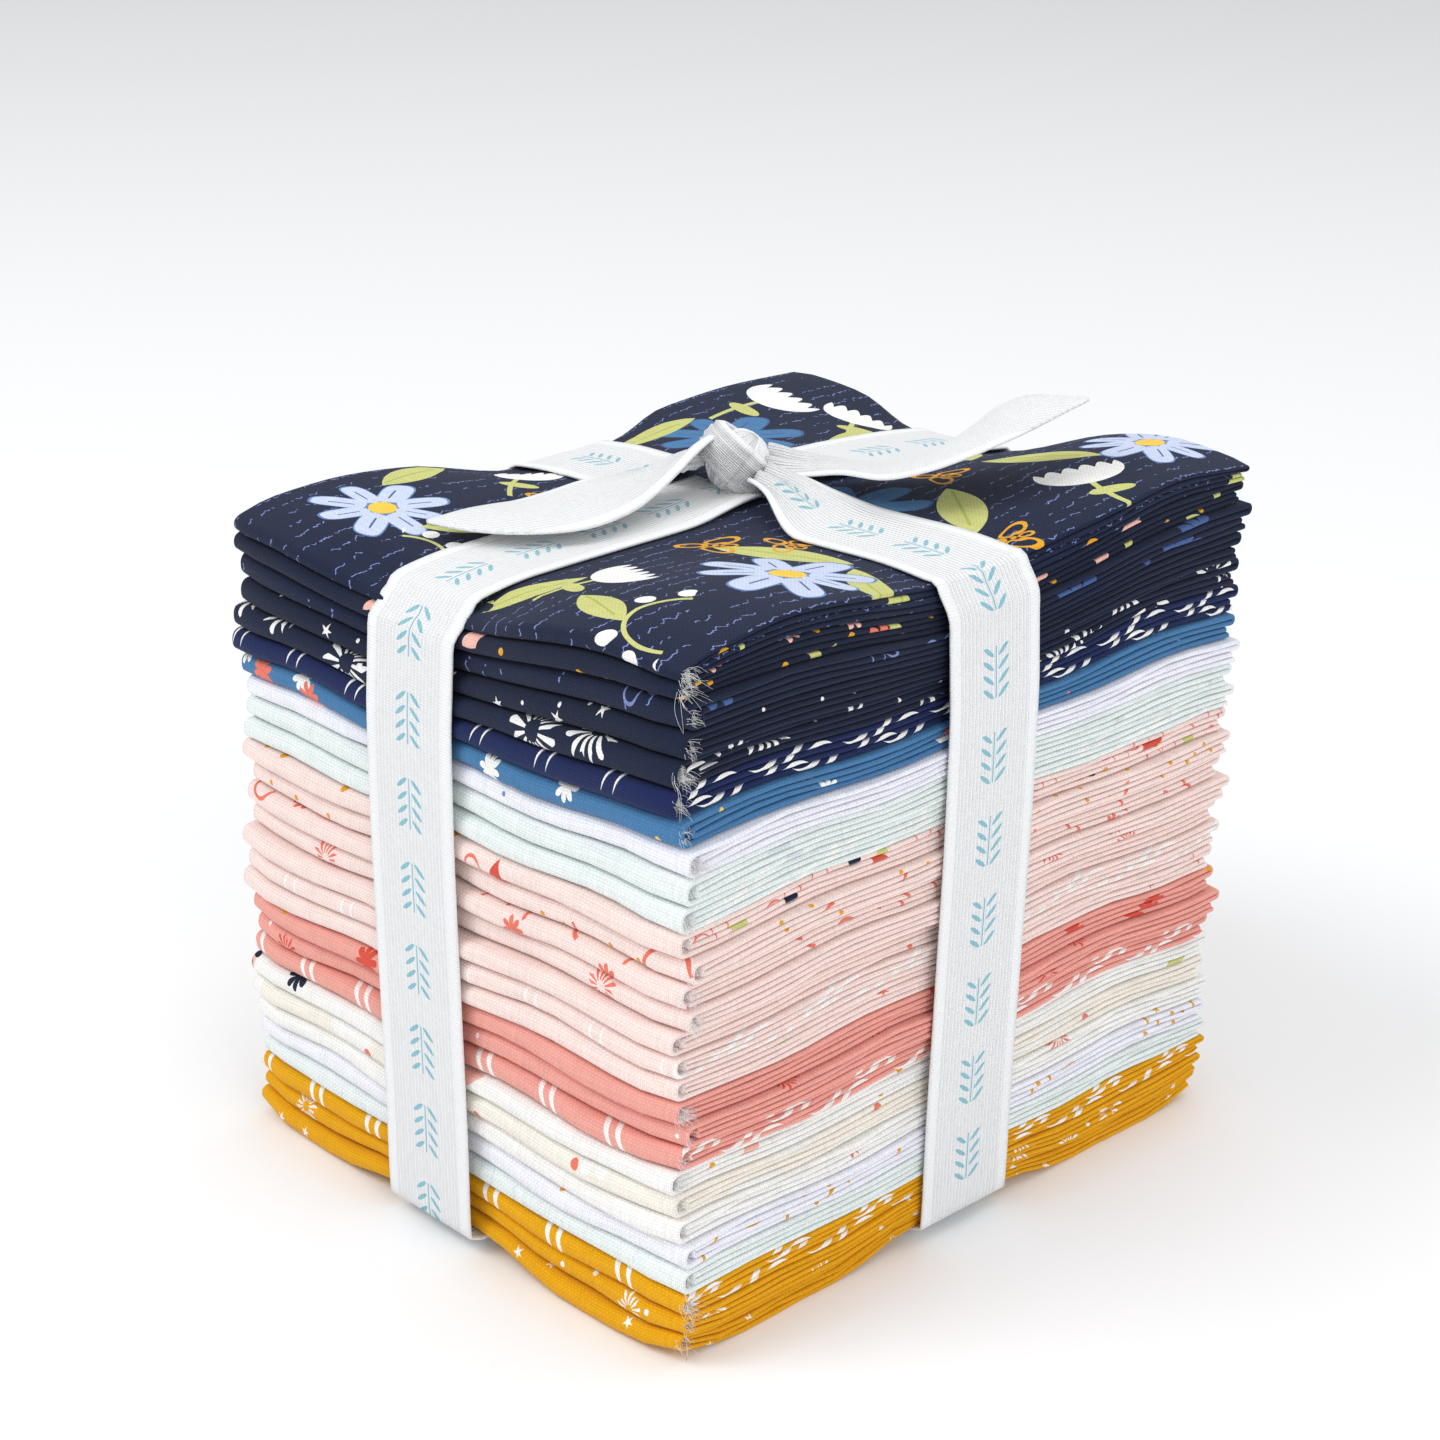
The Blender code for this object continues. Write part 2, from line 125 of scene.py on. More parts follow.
def settled(x, y, z):
    """Where points of the plain stack go once the tape is tied."""
    tape_x, tape_y = tape_centre(z)
    clear_x = ramp(abs(x - tape_x), FURROW_FLAT, FURROW_REACH)
    clear_y = ramp(abs(y - tape_y), FURROW_FLAT, FURROW_REACH)
    off_tape_x = ramp(abs(x - tape_x), EDGE_FLAT, EDGE_CLEAR)
    off_tape_y = ramp(abs(y - tape_y), EDGE_FLAT, EDGE_CLEAR)
    side_x = np.minimum(abs(x) / HALF_X, 1.0)
    side_y = np.minimum(abs(y) / HALF_Y, 1.0)
    bend_x = ramp(abs(x), HALF_X - EDGE_REACH, HALF_X) * (1 - off_tape_y)
    bend_y = ramp(abs(y), HALF_Y - EDGE_REACH, HALF_Y) * (1 - off_tape_x)
    rightward = ramp(x, -20 * MM, 20 * MM)
    backward = ramp(y, -20 * MM, 20 * MM)

    pressed = np.clip((z - STACK_HEIGHT) / PRESSED_HEIGHT + 1, 0.0, 1.0) ** 1.5
    rounded = np.clip((z - STACK_HEIGHT) / ROUNDED_HEIGHT + 1, 0.0, 1.0) ** 1.5
    lifted = np.clip(1 - z / LIFTED_HEIGHT, 0.0, 1.0)

    front_crown = between(CROWN_FRONT_LEFT, CROWN_FRONT_RIGHT, rightward)
    back_crown = between(CROWN_BACK_LEFT, CROWN_BACK_RIGHT, rightward)
    crown = between(front_crown, back_crown, backward) * clear_x * clear_y
    bitten = BACK_DROP * ramp(y, 0.3 * HALF_Y, HALF_Y) * (1 - clear_x)
    top = crown - FURROW_BELOW - bitten - EDGE_DROP * np.maximum(bend_x, bend_y)
    corner_drop = between(CORNER_DROP_LEFT, CORNER_DROP_RIGHT, rightward) * (side_x * side_y) ** 3
    shoulder = SHOULDER_DROP * ramp(-y, HALF_Y - SHOULDER_REACH, HALF_Y) ** 2
    corner = ramp(side_x, UNDER_CORNER_FROM, 1) * ramp(side_y, UNDER_CORNER_FROM, 1)
    under = UNDER_FURROW * (1 - off_tape_x * off_tape_y) + UNDER_CORNER * corner
    slope = (SLOPE_X * x + SLOPE_Y * y) * z / STACK_HEIGHT
    drawn = EDGE_DRAW * pressed + EDGE_ROUND * rounded**2
    return (
        x - np.copysign(drawn * bend_x, x),
        y - np.copysign(drawn * bend_y, y),
        z + slope + top * pressed - (corner_drop + shoulder) * rounded + under * lifted + waves(x, y, z),
    )


def waves(x, y, z):
    """How far the layers rise and fall between the stack's flat bottom and its pressed top."""
    free = ramp(z, 1 * MM, 25 * MM) * (1 - ramp(z, STACK_HEIGHT - 30 * MM, STACK_HEIGHT - 8 * MM))
    along_y = np.sin(TAU * y / WAVE_LENGTH_Y + z / WAVE_DRIFT + 0.6)
    along_x = np.sin(TAU * x / WAVE_LENGTH_X - z / WAVE_DRIFT + 2.0)
    rise = WAVE_HEIGHT * (along_y * ramp(x, 0, HALF_X) + along_x * ramp(-y, 0, HALF_Y))
    sag = END_SAG * ramp(y, 0.5 * HALF_Y, HALF_Y) * ramp(x, 0, HALF_X)
    return (rise - sag) * free


class Ripple:
    """A smooth random curve: sines of a few wavelengths round the given one, about 1 high."""

    def __init__(self, dice, wavelength, count=4):
        self.waves = [
            (TAU / (wavelength * dice.uniform(0.6, 1.7)), dice.uniform(0, TAU))
            for _ in range(count)
        ]

    def __call__(self, distance):
        return sum(np.sin(turn * distance + start) for turn, start in self.waves) / 2


# ---------------------------------------------------------------- the fat quarters


def half_turn(centre, radius, start, way, steps):
    """Points round half a circle, from start degrees, turning way (1 or -1), its two ends left out."""
    return [
        (
            centre[0] + radius * math.cos(math.radians(start + way * 180 * step / steps)),
            centre[1] + radius * math.sin(math.radians(start + way * 180 * step / steps)),
        )
        for step in range(1, steps)
    ]


def straight(start, end, height, step):
    count = max(2, round(abs(end - start) / step) + 1)
    return [(value, height) for value in np.linspace(start, end, count)]


def along_path(points, length):
    """The points as an array, with the distance along them, which is scaled to this length."""
    points = np.array(points)
    steps = np.hypot(*np.diff(points, axis=0).T)
    distance = np.concatenate([[0], np.cumsum(steps)])
    return points, distance * length / distance[-1]


def four_plies(left, right, step):
    """Across the cut: x and offset from the strip's middle, for a cloth folded in half and again in half."""
    outer_turn = right - OUTER_PLY
    inner_turn = right - OUTER_PLY - 0.1 * MM
    back_turn = left + (OUTER_PLY - INNER_PLY) / 2
    back_height = -(OUTER_PLY + INNER_PLY) / 2
    points = straight(left + 0.5 * MM, outer_turn, OUTER_PLY, step)
    points += half_turn((outer_turn, 0), OUTER_PLY, 90, -1, steps=8)
    points += straight(outer_turn, back_turn, -OUTER_PLY, step)
    points += half_turn((back_turn, back_height), (OUTER_PLY - INNER_PLY) / 2, 270, -1, steps=4)
    points += straight(back_turn, inner_turn, -INNER_PLY, 2 * step)
    points += half_turn((inner_turn, 0), INNER_PLY, 270, 1, steps=4)
    points += straight(inner_turn, left + 1.1 * MM, INNER_PLY, 2 * step)
    return along_path(points, CUT_WIDTH)


LOOP_SQUARENESS = 2.5


def front_loop(y, z, reach, height, way, steps):
    """Half a squarish loop towards -Y, between z - way * height and z + way * height."""
    points = []
    for step in range(1, steps):
        angle = math.pi * step / steps
        out, up = math.sin(angle), -math.cos(angle)
        points.append((
            y - reach * abs(out) ** (2 / LOOP_SQUARENESS),
            z + way * height * math.copysign(abs(up) ** (2 / LOOP_SQUARENESS), up),
        ))
    return points


def fold_section(base, front, back, hollow, step):
    """Along the cut: the strip's back-and-forth path in YZ, from raw end to raw end."""
    heights = [base + STRIP / 2 + layer * LAYER_PITCH for layer in range(4)]
    outer = 1.5 * LAYER_PITCH
    inner = 0.5 * LAYER_PITCH
    turn = -HALF_Y - front + STRIP / 2 + outer
    inner_turn = turn + hollow
    back_turn = HALF_Y + back - STRIP / 2 - inner
    raw = back_turn - 0.6 * MM
    points = straight(raw, turn, heights[0], step)
    points += front_loop(turn, base + PIECE_HEIGHT / 2, outer, outer, 1, steps=14)
    points += straight(turn, back_turn, heights[3], step)
    points += half_turn((back_turn, (heights[2] + heights[3]) / 2), inner, 90, -1, steps=6)
    points += straight(back_turn, inner_turn, heights[2], step)
    points += front_loop(inner_turn, (heights[1] + heights[2]) / 2, inner, inner, -1, steps=8)
    points += straight(inner_turn, raw - 0.8 * MM, heights[1], step)
    return along_path(points, CUT_LENGTH)


def outward(path):
    """The outward unit vectors along a path in YZ."""
    way = np.gradient(path, axis=0)
    way /= np.hypot(*way.T)[:, None]
    return np.stack([way[:, 1], -way[:, 0]], axis=1) * -1


def mesh_object(name, points, faces, flat, made_of):
    """An object of these points and faces, with flat as its UV map in metres of cloth."""
    mesh = bpy.data.meshes.new(name)
    mesh.from_pydata(points, [], faces)
    mesh.shade_smooth()
    corners = np.empty(len(mesh.loops), np.int32)
    mesh.loops.foreach_get("vertex_index", corners)
    uv = mesh.uv_layers.new(name="flat")
    uv.data.foreach_set("uv", np.array(flat, np.float32)[corners].ravel())
    mesh.materials.append(made_of)
    made = bpy.data.objects.new(name, mesh)
    bpy.context.scene.collection.objects.link(made)
    return made


def grid_object(name, points, flat, made_of, closed=False):
    """A mesh of rows and columns of points. A closed one joins its last column to its first."""
    rows, columns = points.shape[:2]
    index = np.arange(rows * columns).reshape(rows, columns)
    if closed:
        index = np.concatenate([index, index[:, :1]], axis=1)
    faces = np.stack([index[:-1, :-1], index[:-1, 1:], index[1:, 1:], index[1:, :-1]], axis=-1)
    faces = faces.reshape(-1, 4).tolist()
    return mesh_object(name, points.reshape(-1, 3).tolist(), faces, flat.reshape(-1, 2), made_of)


EDGE_RIPPLE = 0.20 * MM  # how uneven the folds of the layers are on the +X side
FRONT_RIPPLE = 0.35 * MM  # and the front folds along their length
END_ROUNDING = 1.1 * MM  # how far each cloth's corners draw back
TOP_STEP = 4 * MM
STEP = 7 * MM


def folded_quarter(number, made_of):
    """One fat quarter as one continuous cloth, 16 plies thick."""
    node = f"fat_quarter_{number:02d}"
    low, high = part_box(node)
    dice = random.Random(100 + number)
    base = (PIECES - number) * PIECE_PITCH
    step = TOP_STEP if number == 1 else STEP
    across, flat_x = four_plies(low.x, high.x, step)
    path, flat_y = fold_section(
        base, -low.y - HALF_Y, high.y - HALF_Y, dice.uniform(0.8, 1.4) * MM, step
    )
    way = outward(path)
    x = np.broadcast_to(across[None, :, 0], (len(path), len(across))).copy()
    y = path[:, None, 0] + way[:, None, 0] * across[None, :, 1]
    z = path[:, None, 1] + way[:, None, 1] * across[None, :, 1]
    uneven_right, uneven_left = Ripple(dice, 30 * MM), Ripple(dice, 34 * MM)
    uneven_front = Ripple(dice, 45 * MM)
    x += EDGE_RIPPLE * uneven_right(flat_y)[:, None] * ramp(x, HALF_X - 12 * MM, HALF_X)
    x += EDGE_RIPPLE * uneven_left(flat_y)[:, None] * ramp(-x, HALF_X - 12 * MM, HALF_X)
    near_front = ramp(-y, HALF_Y - 14 * MM, HALF_Y)
    drawn = END_ROUNDING * ramp(abs(x), HALF_X - 5 * MM, HALF_X) ** 2
    y += (FRONT_RIPPLE * uneven_front(x) + drawn) * near_front
    y -= drawn * ramp(y, HALF_Y - 14 * MM, HALF_Y)
    points = np.stack(settled(x, y, z), axis=-1)
    flat = np.stack(np.broadcast_arrays(flat_x[None, :], flat_y[:, None]), axis=-1)
    made = grid_object(f"folded_cloth_{number:02d}", points, flat, made_of)
    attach(made, "root")
    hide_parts(node)
    return made


# ---------------------------------------------------------------- frayed threads

THREAD_RADIUS = 0.04 * MM
THREAD_POINTS = 8
BIG_TUFTS = {1: 50, 2: 36, 5: 70, 8: 110, 10: 80, 13: 50, 14: 60, 18: 80, 21: 60, 26: 60}
SMALL_TUFT = 26  # threads in the tuft of any other fat quarter
LONG_ENDS = {2: 7.0, 5: 8.0, 20: 9.0, 24: 9.5, 27: 6.0}  # length in mm of a pair of loose ends


def curl(dice, start, way, length, sag):
    """A thread's path from start, curling at random and sagging towards its end."""
    bend = Vector((dice.uniform(-1, 1), dice.uniform(-1, 1), dice.uniform(-1, 1)))
    points = []
    for step in np.linspace(0, 1, THREAD_POINTS):
        swing = bend * 0.28 * math.sin(step * 3.2) * step
        points.append(start + (way * step + swing - Vector((0, 0, sag * step * step))) * length)
    return points


def threads_object(name, paths, made_of):
    """All these paths as thin three-sided tubes, in one mesh."""
    points, faces, flat = [], [], []
    for path in paths:
        first = len(points)
        for place, spot in enumerate(path):
            radius = THREAD_RADIUS * (1.1 - 0.7 * place / len(path))
            for corner in range(3):
                turn = TAU * corner / 3
                points.append(spot + Vector((0.5 * math.cos(turn), math.cos(turn), math.sin(turn))) * radius)
                flat.append((place * 0.4 * MM, corner * 0.2 * MM + first * MM))
        for place in range(len(path) - 1):
            for corner in range(3):
                low = first + 3 * place
                after = (corner + 1) % 3
                faces.append((low + corner, low + after, low + 3 + after, low + 3 + corner))
    return mesh_object(name, points, faces, flat, made_of)


def frayed_threads(number, made_of):
    """The tuft that fluffs out of a fat quarter's fold at the near corner."""
    low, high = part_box(f"fat_quarter_{number:02d}")
    dice = random.Random(500 + number)
    base = (PIECES - number) * PIECE_PITCH
    paths = []

    def root(spread):
        x = high.x - 0.6 * MM
        y = low.y + dice.uniform(1.2, 1.2 + spread) * MM
        z = base + dice.uniform(0.8, 3.2) * MM
        return Vector(float(value) for value in settled(x, y, z))

    for _ in range(BIG_TUFTS.get(number, SMALL_TUFT)):
        way = Vector((dice.uniform(0.3, 0.9), dice.uniform(-0.5, 0.9), dice.uniform(-0.3, 0.5)))
        reach = 1.3 if number in BIG_TUFTS else 0.9
        paths.append(curl(dice, root(1.8), way, dice.uniform(1.2, 3.0) * reach * MM, 0.3))
    if number in LONG_ENDS:
        way = Vector((0.25, -0.05, -0.1))
        paths += [curl(dice, root(0.3), way, LONG_ENDS[number] * MM, 0.8) for _ in range(2)]
    made = threads_object(f"frayed_threads_{number:02d}", paths, made_of)
    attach(made, "root")
    return made


# ---------------------------------------------------------------- the tape

TAPE_WIDTH = 22 * MM
TAPE_THICKNESS = 0.42 * MM
KNOT_CENTRE = Vector((-6.5, 3.5, 124.6)) * MM
GATHERED_LENGTH = 21 * MM
LOWERED_LENGTH = 21 * MM
TAPE_BEND = 2.7 * MM  # the radius of its bend over an edge
TAPE_BEND_INSET = 2.0 * MM  # how far in from the edge the bend's centre is
CROSSOVER_LENGTH = 20 * MM
CROSSOVER_FLAT = 12 * MM
CAD_TAPE_THICKNESS = 1.0 * MM
PIECE_GAP = 0.3 * MM
TOP_ANGLES = (78, 45, 12)  # round the top edge and the bottom edge, in degrees above level
BOTTOM_ANGLES = (0, -45, -90)
SIDE_DROPS = (5.5, 10, 17, 26, 47, 73, 97)  # down the side, in mm below the top
UNDER_SHARES = (0.93, 0.87, 0.75, 0.5)  # underneath, as shares of the way out to the edge

# How each arm of the tie leaves the knot, in mm: how far from the knot's middle it starts, how wide it
# is there, how far it is lifted off the cloth, and how much more its +X or +Y edge is lifted.
Arm = namedtuple("Arm", "reach width lift edge_lift")
ARMS_ALONG_Y = {-1: Arm(1.0, 17.0, 1.0, 0.0), 1: Arm(5.5, 10.0, 3.6, 0.5)}
ARMS_ALONG_X = {-1: Arm(5.0, 12.0, 4.4, 1.5), 1: Arm(8.0, 6.0, 4.4, 2.2)}


def arm_of(across, side):
    return Arm(*(value * MM for value in (ARMS_ALONG_Y if across else ARMS_ALONG_X)[side]))


def smooth_curve(points, step):
    """A Catmull-Rom curve through the points, sampled evenly."""
    points = np.array(points, float)
    ends = np.concatenate([[2 * points[0] - points[1]], points, [2 * points[-1] - points[-2]]])
    found = []
    for a, b, c, d in zip(ends, ends[1:], ends[2:], ends[3:]):
        t = np.linspace(0, 1, 12, endpoint=False)[:, None]
        found.append(
            0.5 * (2 * b + (c - a) * t + (2 * a - 5 * b + 4 * c - d) * t**2 + (3 * b - a - 3 * c + d) * t**3)
        )
    fine = np.concatenate(found + [points[-1:]])
    distance = np.concatenate([[0], np.cumsum(np.linalg.norm(np.diff(fine, axis=0), axis=1))])
    even = np.linspace(0, distance[-1], max(3, round(distance[-1] / step)))
    return np.stack([np.interp(even, distance, fine[:, k]) for k in range(points.shape[1])], axis=1)


def tape_route(across, half, knot):
    """The tape's path in its own plane, as (distance along, height), from the knot round and back."""
    clear = PIECE_GAP + TAPE_THICKNESS / 2
    edge = half + STAND_OUT

    def cloth(along, z):
        tape_x, tape_y = tape_centre(z)
        spot = settled(tape_x, along, z) if across else settled(along, tape_y, z)
        return float(spot[1 if across else 0]), float(spot[2])

    def half_route(side):
        arm = arm_of(across, side)
        start = knot + side * arm.reach
        last = half - 0.35 * EDGE_REACH
        for along in np.linspace(start, side * last, 9):
            lift = arm.lift * (1 - ramp(abs(along - start), 0, LOWERED_LENGTH))
            yield along, cloth(along, STACK_HEIGHT)[1] + clear + lift
        corner, top = cloth(side * edge, STACK_HEIGHT)
        for angle in TOP_ANGLES:
            turn = math.radians(angle)
            yield (
                side * (abs(corner) - TAPE_BEND_INSET + TAPE_BEND * math.cos(turn)),
                top - TAPE_BEND_INSET + TAPE_BEND * math.sin(turn),
            )
        for drop in SIDE_DROPS:
            along, z = cloth(side * edge, STACK_HEIGHT - drop * MM)
            yield along + side * clear, z
        for angle in BOTTOM_ANGLES:
            turn = math.radians(angle)
            yield (
                side * (edge - TAPE_BEND_INSET + TAPE_BEND * math.cos(turn)),
                UNDER_FURROW + TAPE_BEND_INSET + TAPE_BEND * math.sin(turn),
            )
        level = UNDER_FURROW - clear
        for share in UNDER_SHARES:
            yield side * edge * share, level
        if not across:
            middle = tape_centre(0)[0]
            yield middle + side * CROSSOVER_LENGTH, level
            yield middle + side * CROSSOVER_FLAT, level - CAD_TAPE_THICKNESS - PIECE_GAP
        else:
            yield side * edge * 0.2, level

    left, right = list(half_route(-1)), list(half_route(1))
    return smooth_curve(left + right[::-1], 1.5 * MM)


def thicken(made, thickness):
    solid = made.modifiers.new("Thickness", "SOLIDIFY")
    solid.thickness = thickness
    solid.offset = 0
    return made


TAPE_COLUMNS = np.linspace(-0.5, 0.5, 21)
PLEAT_HEIGHT = 0.7 * MM


def pleats(gathered):
    """How far the gathered tape rises along each of its columns."""
    return PLEAT_HEIGHT * gathered * np.cos(TAU * 2.5 * TAPE_COLUMNS + 0.6)


def tape(name, across, made_of):
    """The tape round the stack one way. It lies on the settled cloth, and is gathered at the knot."""
    knot = KNOT_CENTRE.y if across else KNOT_CENTRE.x
    route = tape_route(across, HALF_Y if across else HALF_X, knot)
    distance = np.concatenate([[0], np.cumsum(np.hypot(*np.diff(route, axis=0).T))])
    rows = []
    for along, z in route:
        tape_x, tape_y = tape_centre(z)
        over = z > STACK_HEIGHT / 2
        arm = arm_of(across, 1 if along > knot else -1)
        opened = ramp(abs(along - knot) - arm.reach, 0, GATHERED_LENGTH) if over else 1
        aside = TAPE_COLUMNS * between(arm.width, TAPE_WIDTH, opened)
        tipped = arm.edge_lift * (TAPE_COLUMNS + 0.5) * (1 - opened)
        gathered = (1 - opened) * (1 - arm.width / TAPE_WIDTH)
        lying = ramp(z, STACK_HEIGHT - 12 * MM, STACK_HEIGHT - 5 * MM)
        level = np.full(len(aside), along)
        x, y = (tape_x + aside, level) if across else (level, tape_y + aside)
        middle = (tape_x, along) if across else (along, tape_y)
        lean = settled(x, y, STACK_HEIGHT)[2] - settled(*middle, STACK_HEIGHT)[2]
        tilt = aside * (SLOPE_X if across else SLOPE_Y) * z / STACK_HEIGHT
        height = z + between(tilt, lean, lying) + pleats(gathered) + tipped
        rows.append(np.stack([x, y, height], axis=1))
    flat = np.stack(np.broadcast_arrays(TAPE_COLUMNS[None, :] * TAPE_WIDTH, distance[:, None]), axis=-1)
    made = thicken(grid_object(name, np.array(rows), flat, made_of), TAPE_THICKNESS)
    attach(made, "root")
    return made, float(distance[-1])


# The free ends, a row for each section from the knot to the tip, in mm. sweep is the heading in which
# the tape's width points, in degrees from +X, and tilt raises that side of it.
Section = namedtuple("Section", "x y z width sweep tilt")
LEFT_TAIL = (
    Section(-8.4, 0.2, 127.4, 8.0, 52, 60),
    Section(-10.8, -7.0, 126.0, 11.5, 24, 34),
    Section(-13.0, -17.0, 122.8, 16.0, 0, 4),
    Section(-13.5, -26.0, 121.2, 21.0, 0, 3),
    Section(-14.0, -34.0, 120.6, 21.5, -6, 2),
    Section(-17.0, -40.5, 120.4, 17.5, -18, 0),
    Section(-21.5, -46.8, 120.3, 9.5, -28, -3),
    Section(-25.4, -51.8, 120.2, 1.2, -35, -3),
)
RIGHT_TAIL = (
    Section(-2.6, 6.0, 125.6, 7.0, 112, 40),
    Section(2.4, 9.6, 124.6, 10.0, 118, 12),
    Section(8.5, 15.2, 124.6, 15.0, 122, -7),
    Section(16.5, 18.2, 125.3, 20.0, 127, -8),
    Section(23.0, 21.6, 127.8, 22.0, 130, -8),
    Section(27.0, 26.6, 131.0, 22.0, 134, -5),
    Section(29.8, 32.4, 134.2, 21.0, 136, 0),
    Section(33.4, 36.4, 136.6, 15.0, 138, 4),
    Section(37.6, 39.6, 138.2, 7.0, 140, 4),
    Section(40.6, 42.0, 139.2, 1.2, 142, 4),
)
TAIL_CUP = 0.05  # how far its middle stands above its edges, as a share of its width


def tail(name, sections, made_of):
    """A free end of the tape: pleated where it leaves the knot, and cut to a long slanting point."""
    curve = smooth_curve([tuple(row) for row in sections], 1.2)
    distance = np.concatenate([[0], np.cumsum(np.linalg.norm(np.diff(curve[:, :3], axis=0), axis=1))])
    widest = int(np.argmax(curve[:, 3]))
    rows, flat = [], []
    for place, (x, y, z, width, sweep, tilt) in enumerate(curve):
        sweep, tilt = math.radians(sweep), math.radians(tilt)
        way = np.array((math.cos(sweep) * math.cos(tilt), math.sin(sweep) * math.cos(tilt), math.sin(tilt)))
        ahead = curve[min(place + 1, len(curve) - 1), :3] - curve[max(place - 1, 0), :3]
        face = np.cross(ahead, way)
        face *= math.copysign(1, face[2]) / np.linalg.norm(face)
        gathered = 1 - ramp(distance[place], 0, GATHERED_LENGTH / MM)
        cup = TAIL_CUP * width * (1 - 4 * TAPE_COLUMNS**2) + pleats(gathered) / MM
        row = np.array((x, y, z)) + TAPE_COLUMNS[:, None] * width * way + cup[:, None] * face
        rows.append(row * MM)
        cloth_width = TAPE_WIDTH if place < widest else min(width * MM, TAPE_WIDTH)
        along = np.full(len(TAPE_COLUMNS), distance[place] * MM)
        flat.append(np.stack([TAPE_COLUMNS * cloth_width, along], axis=1))
    made = thicken(grid_object(name, np.array(rows), np.array(flat), made_of), TAPE_THICKNESS)
    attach(made, "root")
    slanted = distance[-1] - distance[widest]
    area = TAPE_WIDTH * (distance[-1] - slanted / 2) * MM
    return made, float(distance[-1] * MM), float(area)


# The knot: a tight turn of gathered tape over a lump of the same. Its turn runs over the top and
# down the side that faces between +X and -Y.
KNOT_SIDE = Vector((0.707, 0.707, 0))
KNOT_FRONT = Vector((0.707, -0.707, 0))
KNOT_AXIS = 0.6 * KNOT_SIDE + Vector((0, 0, 0.8))
KNOT_RISE = -0.8 * KNOT_SIDE + Vector((0, 0, 0.6))
TURN_RADIUS_FRONT = 5.7 * MM
TURN_RADIUS_RISE = 7.0 * MM
TURN_HALF_WIDTH = 4.1 * MM
TURN_HALF_THICKNESS = 1.1 * MM
TURN_CROWN = 0.9 * MM  # how far its middle stands above its edges
TURN_SWAY = 0.9 * MM
TURN_CREASE = 0.26 * MM
TURN_UNEVEN = 0.15 * MM
TURN_PLEATS = 5
CORE_HALF_LENGTH = 5.8 * MM
CORE_RADIUS = 4.9 * MM
CORE_PLEATS = 11


def knot_turn(made_of):
    """The turn that holds the knot: a closed loop with a flat rounded section, pleated lengthwise."""
    rows, flat = [], []
    uneven = Ripple(random.Random(5), 9 * MM)
    for angle in np.linspace(0, TAU, 61):
        way = KNOT_FRONT * math.cos(angle) * TURN_RADIUS_FRONT
        way += KNOT_RISE * math.sin(angle) * TURN_RADIUS_RISE
        half_width = TURN_HALF_WIDTH * (1 - 0.14 * math.sin(angle) ** 2)
        sway = TURN_SWAY * math.sin(angle + 0.7)
        row, row_flat = [], []
        for turn in np.linspace(0, TAU, 44, endpoint=False):
            aside = math.copysign(abs(math.cos(turn)) ** 0.7, math.cos(turn))
            out = math.copysign(abs(math.sin(turn)) ** 0.8, math.sin(turn))
            pleated = math.cos(TURN_PLEATS * math.pi * aside + 0.8 * math.sin(angle))
            height = TURN_HALF_THICKNESS * out - TURN_CROWN * aside * aside
            height += TURN_CREASE * pleated * max(out, 0)
            height += TURN_UNEVEN * float(uneven(angle * TURN_RADIUS_RISE + aside * 3 * MM))
            along_axis = KNOT_AXIS * (aside * half_width + sway)
            row.append(KNOT_CENTRE + way + way.normalized() * height + along_axis)
            row_flat.append((aside * TAPE_WIDTH * 0.45, angle * TURN_RADIUS_RISE))
        rows.append(row)
        flat.append(row_flat)
    return grid_object("knot_turn", np.array(rows), np.array(flat), made_of, closed=True)


def knot_core(made_of):
    """The gathered tape inside the turn, its pleats running out to where the tape leaves."""
    rows, flat = [], []
    for share in np.linspace(0.001, 0.999, 25):
        angle = math.pi * share
        radius = CORE_RADIUS * math.sin(angle) ** 0.8
        row, row_flat = [], []
        for turn in np.linspace(0, TAU, 66, endpoint=False):
            pleated = radius * (1 + 0.10 * math.cos(CORE_PLEATS * turn + 2.5 * share))
            aside = KNOT_FRONT * math.cos(turn) * 1.1 + KNOT_RISE * math.sin(turn)
            row.append(KNOT_CENTRE + aside * pleated - KNOT_AXIS * (CORE_HALF_LENGTH * math.cos(angle)))
            row_flat.append((turn * CORE_RADIUS, share * 2 * CORE_HALF_LENGTH))
        rows.append(row)
        flat.append(row_flat)
    return grid_object("knot_core", np.array(rows), np.array(flat), made_of, closed=True)


def knot(made_of):
    turn, core = knot_turn(made_of), knot_core(made_of)
    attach(turn, "root")
    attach(core, "root")
    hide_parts("tape_knot")
    return [turn, core]


# ---------------------------------------------------------------- materials


def srgb(red, green, blue):
    """A colour given as it looks on screen, 0 to 255, in the linear numbers that shaders take."""
    return tuple(((c / 255 + 0.055) / 1.055) ** 2.4 for c in (red, green, blue))


NAVY = srgb(23, 33, 60)
DEEP_NAVY = srgb(21, 31, 56)
ROYAL = srgb(22, 36, 84)
BLUE = srgb(72, 124, 171)
LAVENDER = srgb(243, 243, 251)
MINT = srgb(235, 243, 241)
PALE_PINK = srgb(250, 227, 221)
SALMON = srgb(240, 167, 155)
WHITE = srgb(248, 247, 244)
CREAM = srgb(247, 241, 230)
MUSTARD = srgb(233, 168, 4)
PRINT_WHITE = srgb(248, 247, 244)
CORAL = srgb(238, 124, 104)
BLUSH = srgb(247, 190, 176)
RED_CORAL = srgb(222, 84, 66)
GOLD = srgb(232, 166, 36)
YELLOW = srgb(250, 205, 74)
OLIVE = srgb(206, 208, 128)
LEAF_GREEN = srgb(176, 186, 92)
PERIWINKLE = srgb(206, 216, 240)
SKY = srgb(104, 136, 190)
SLATE = srgb(70, 96, 150)
INK_BLUE = srgb(124, 138, 194)
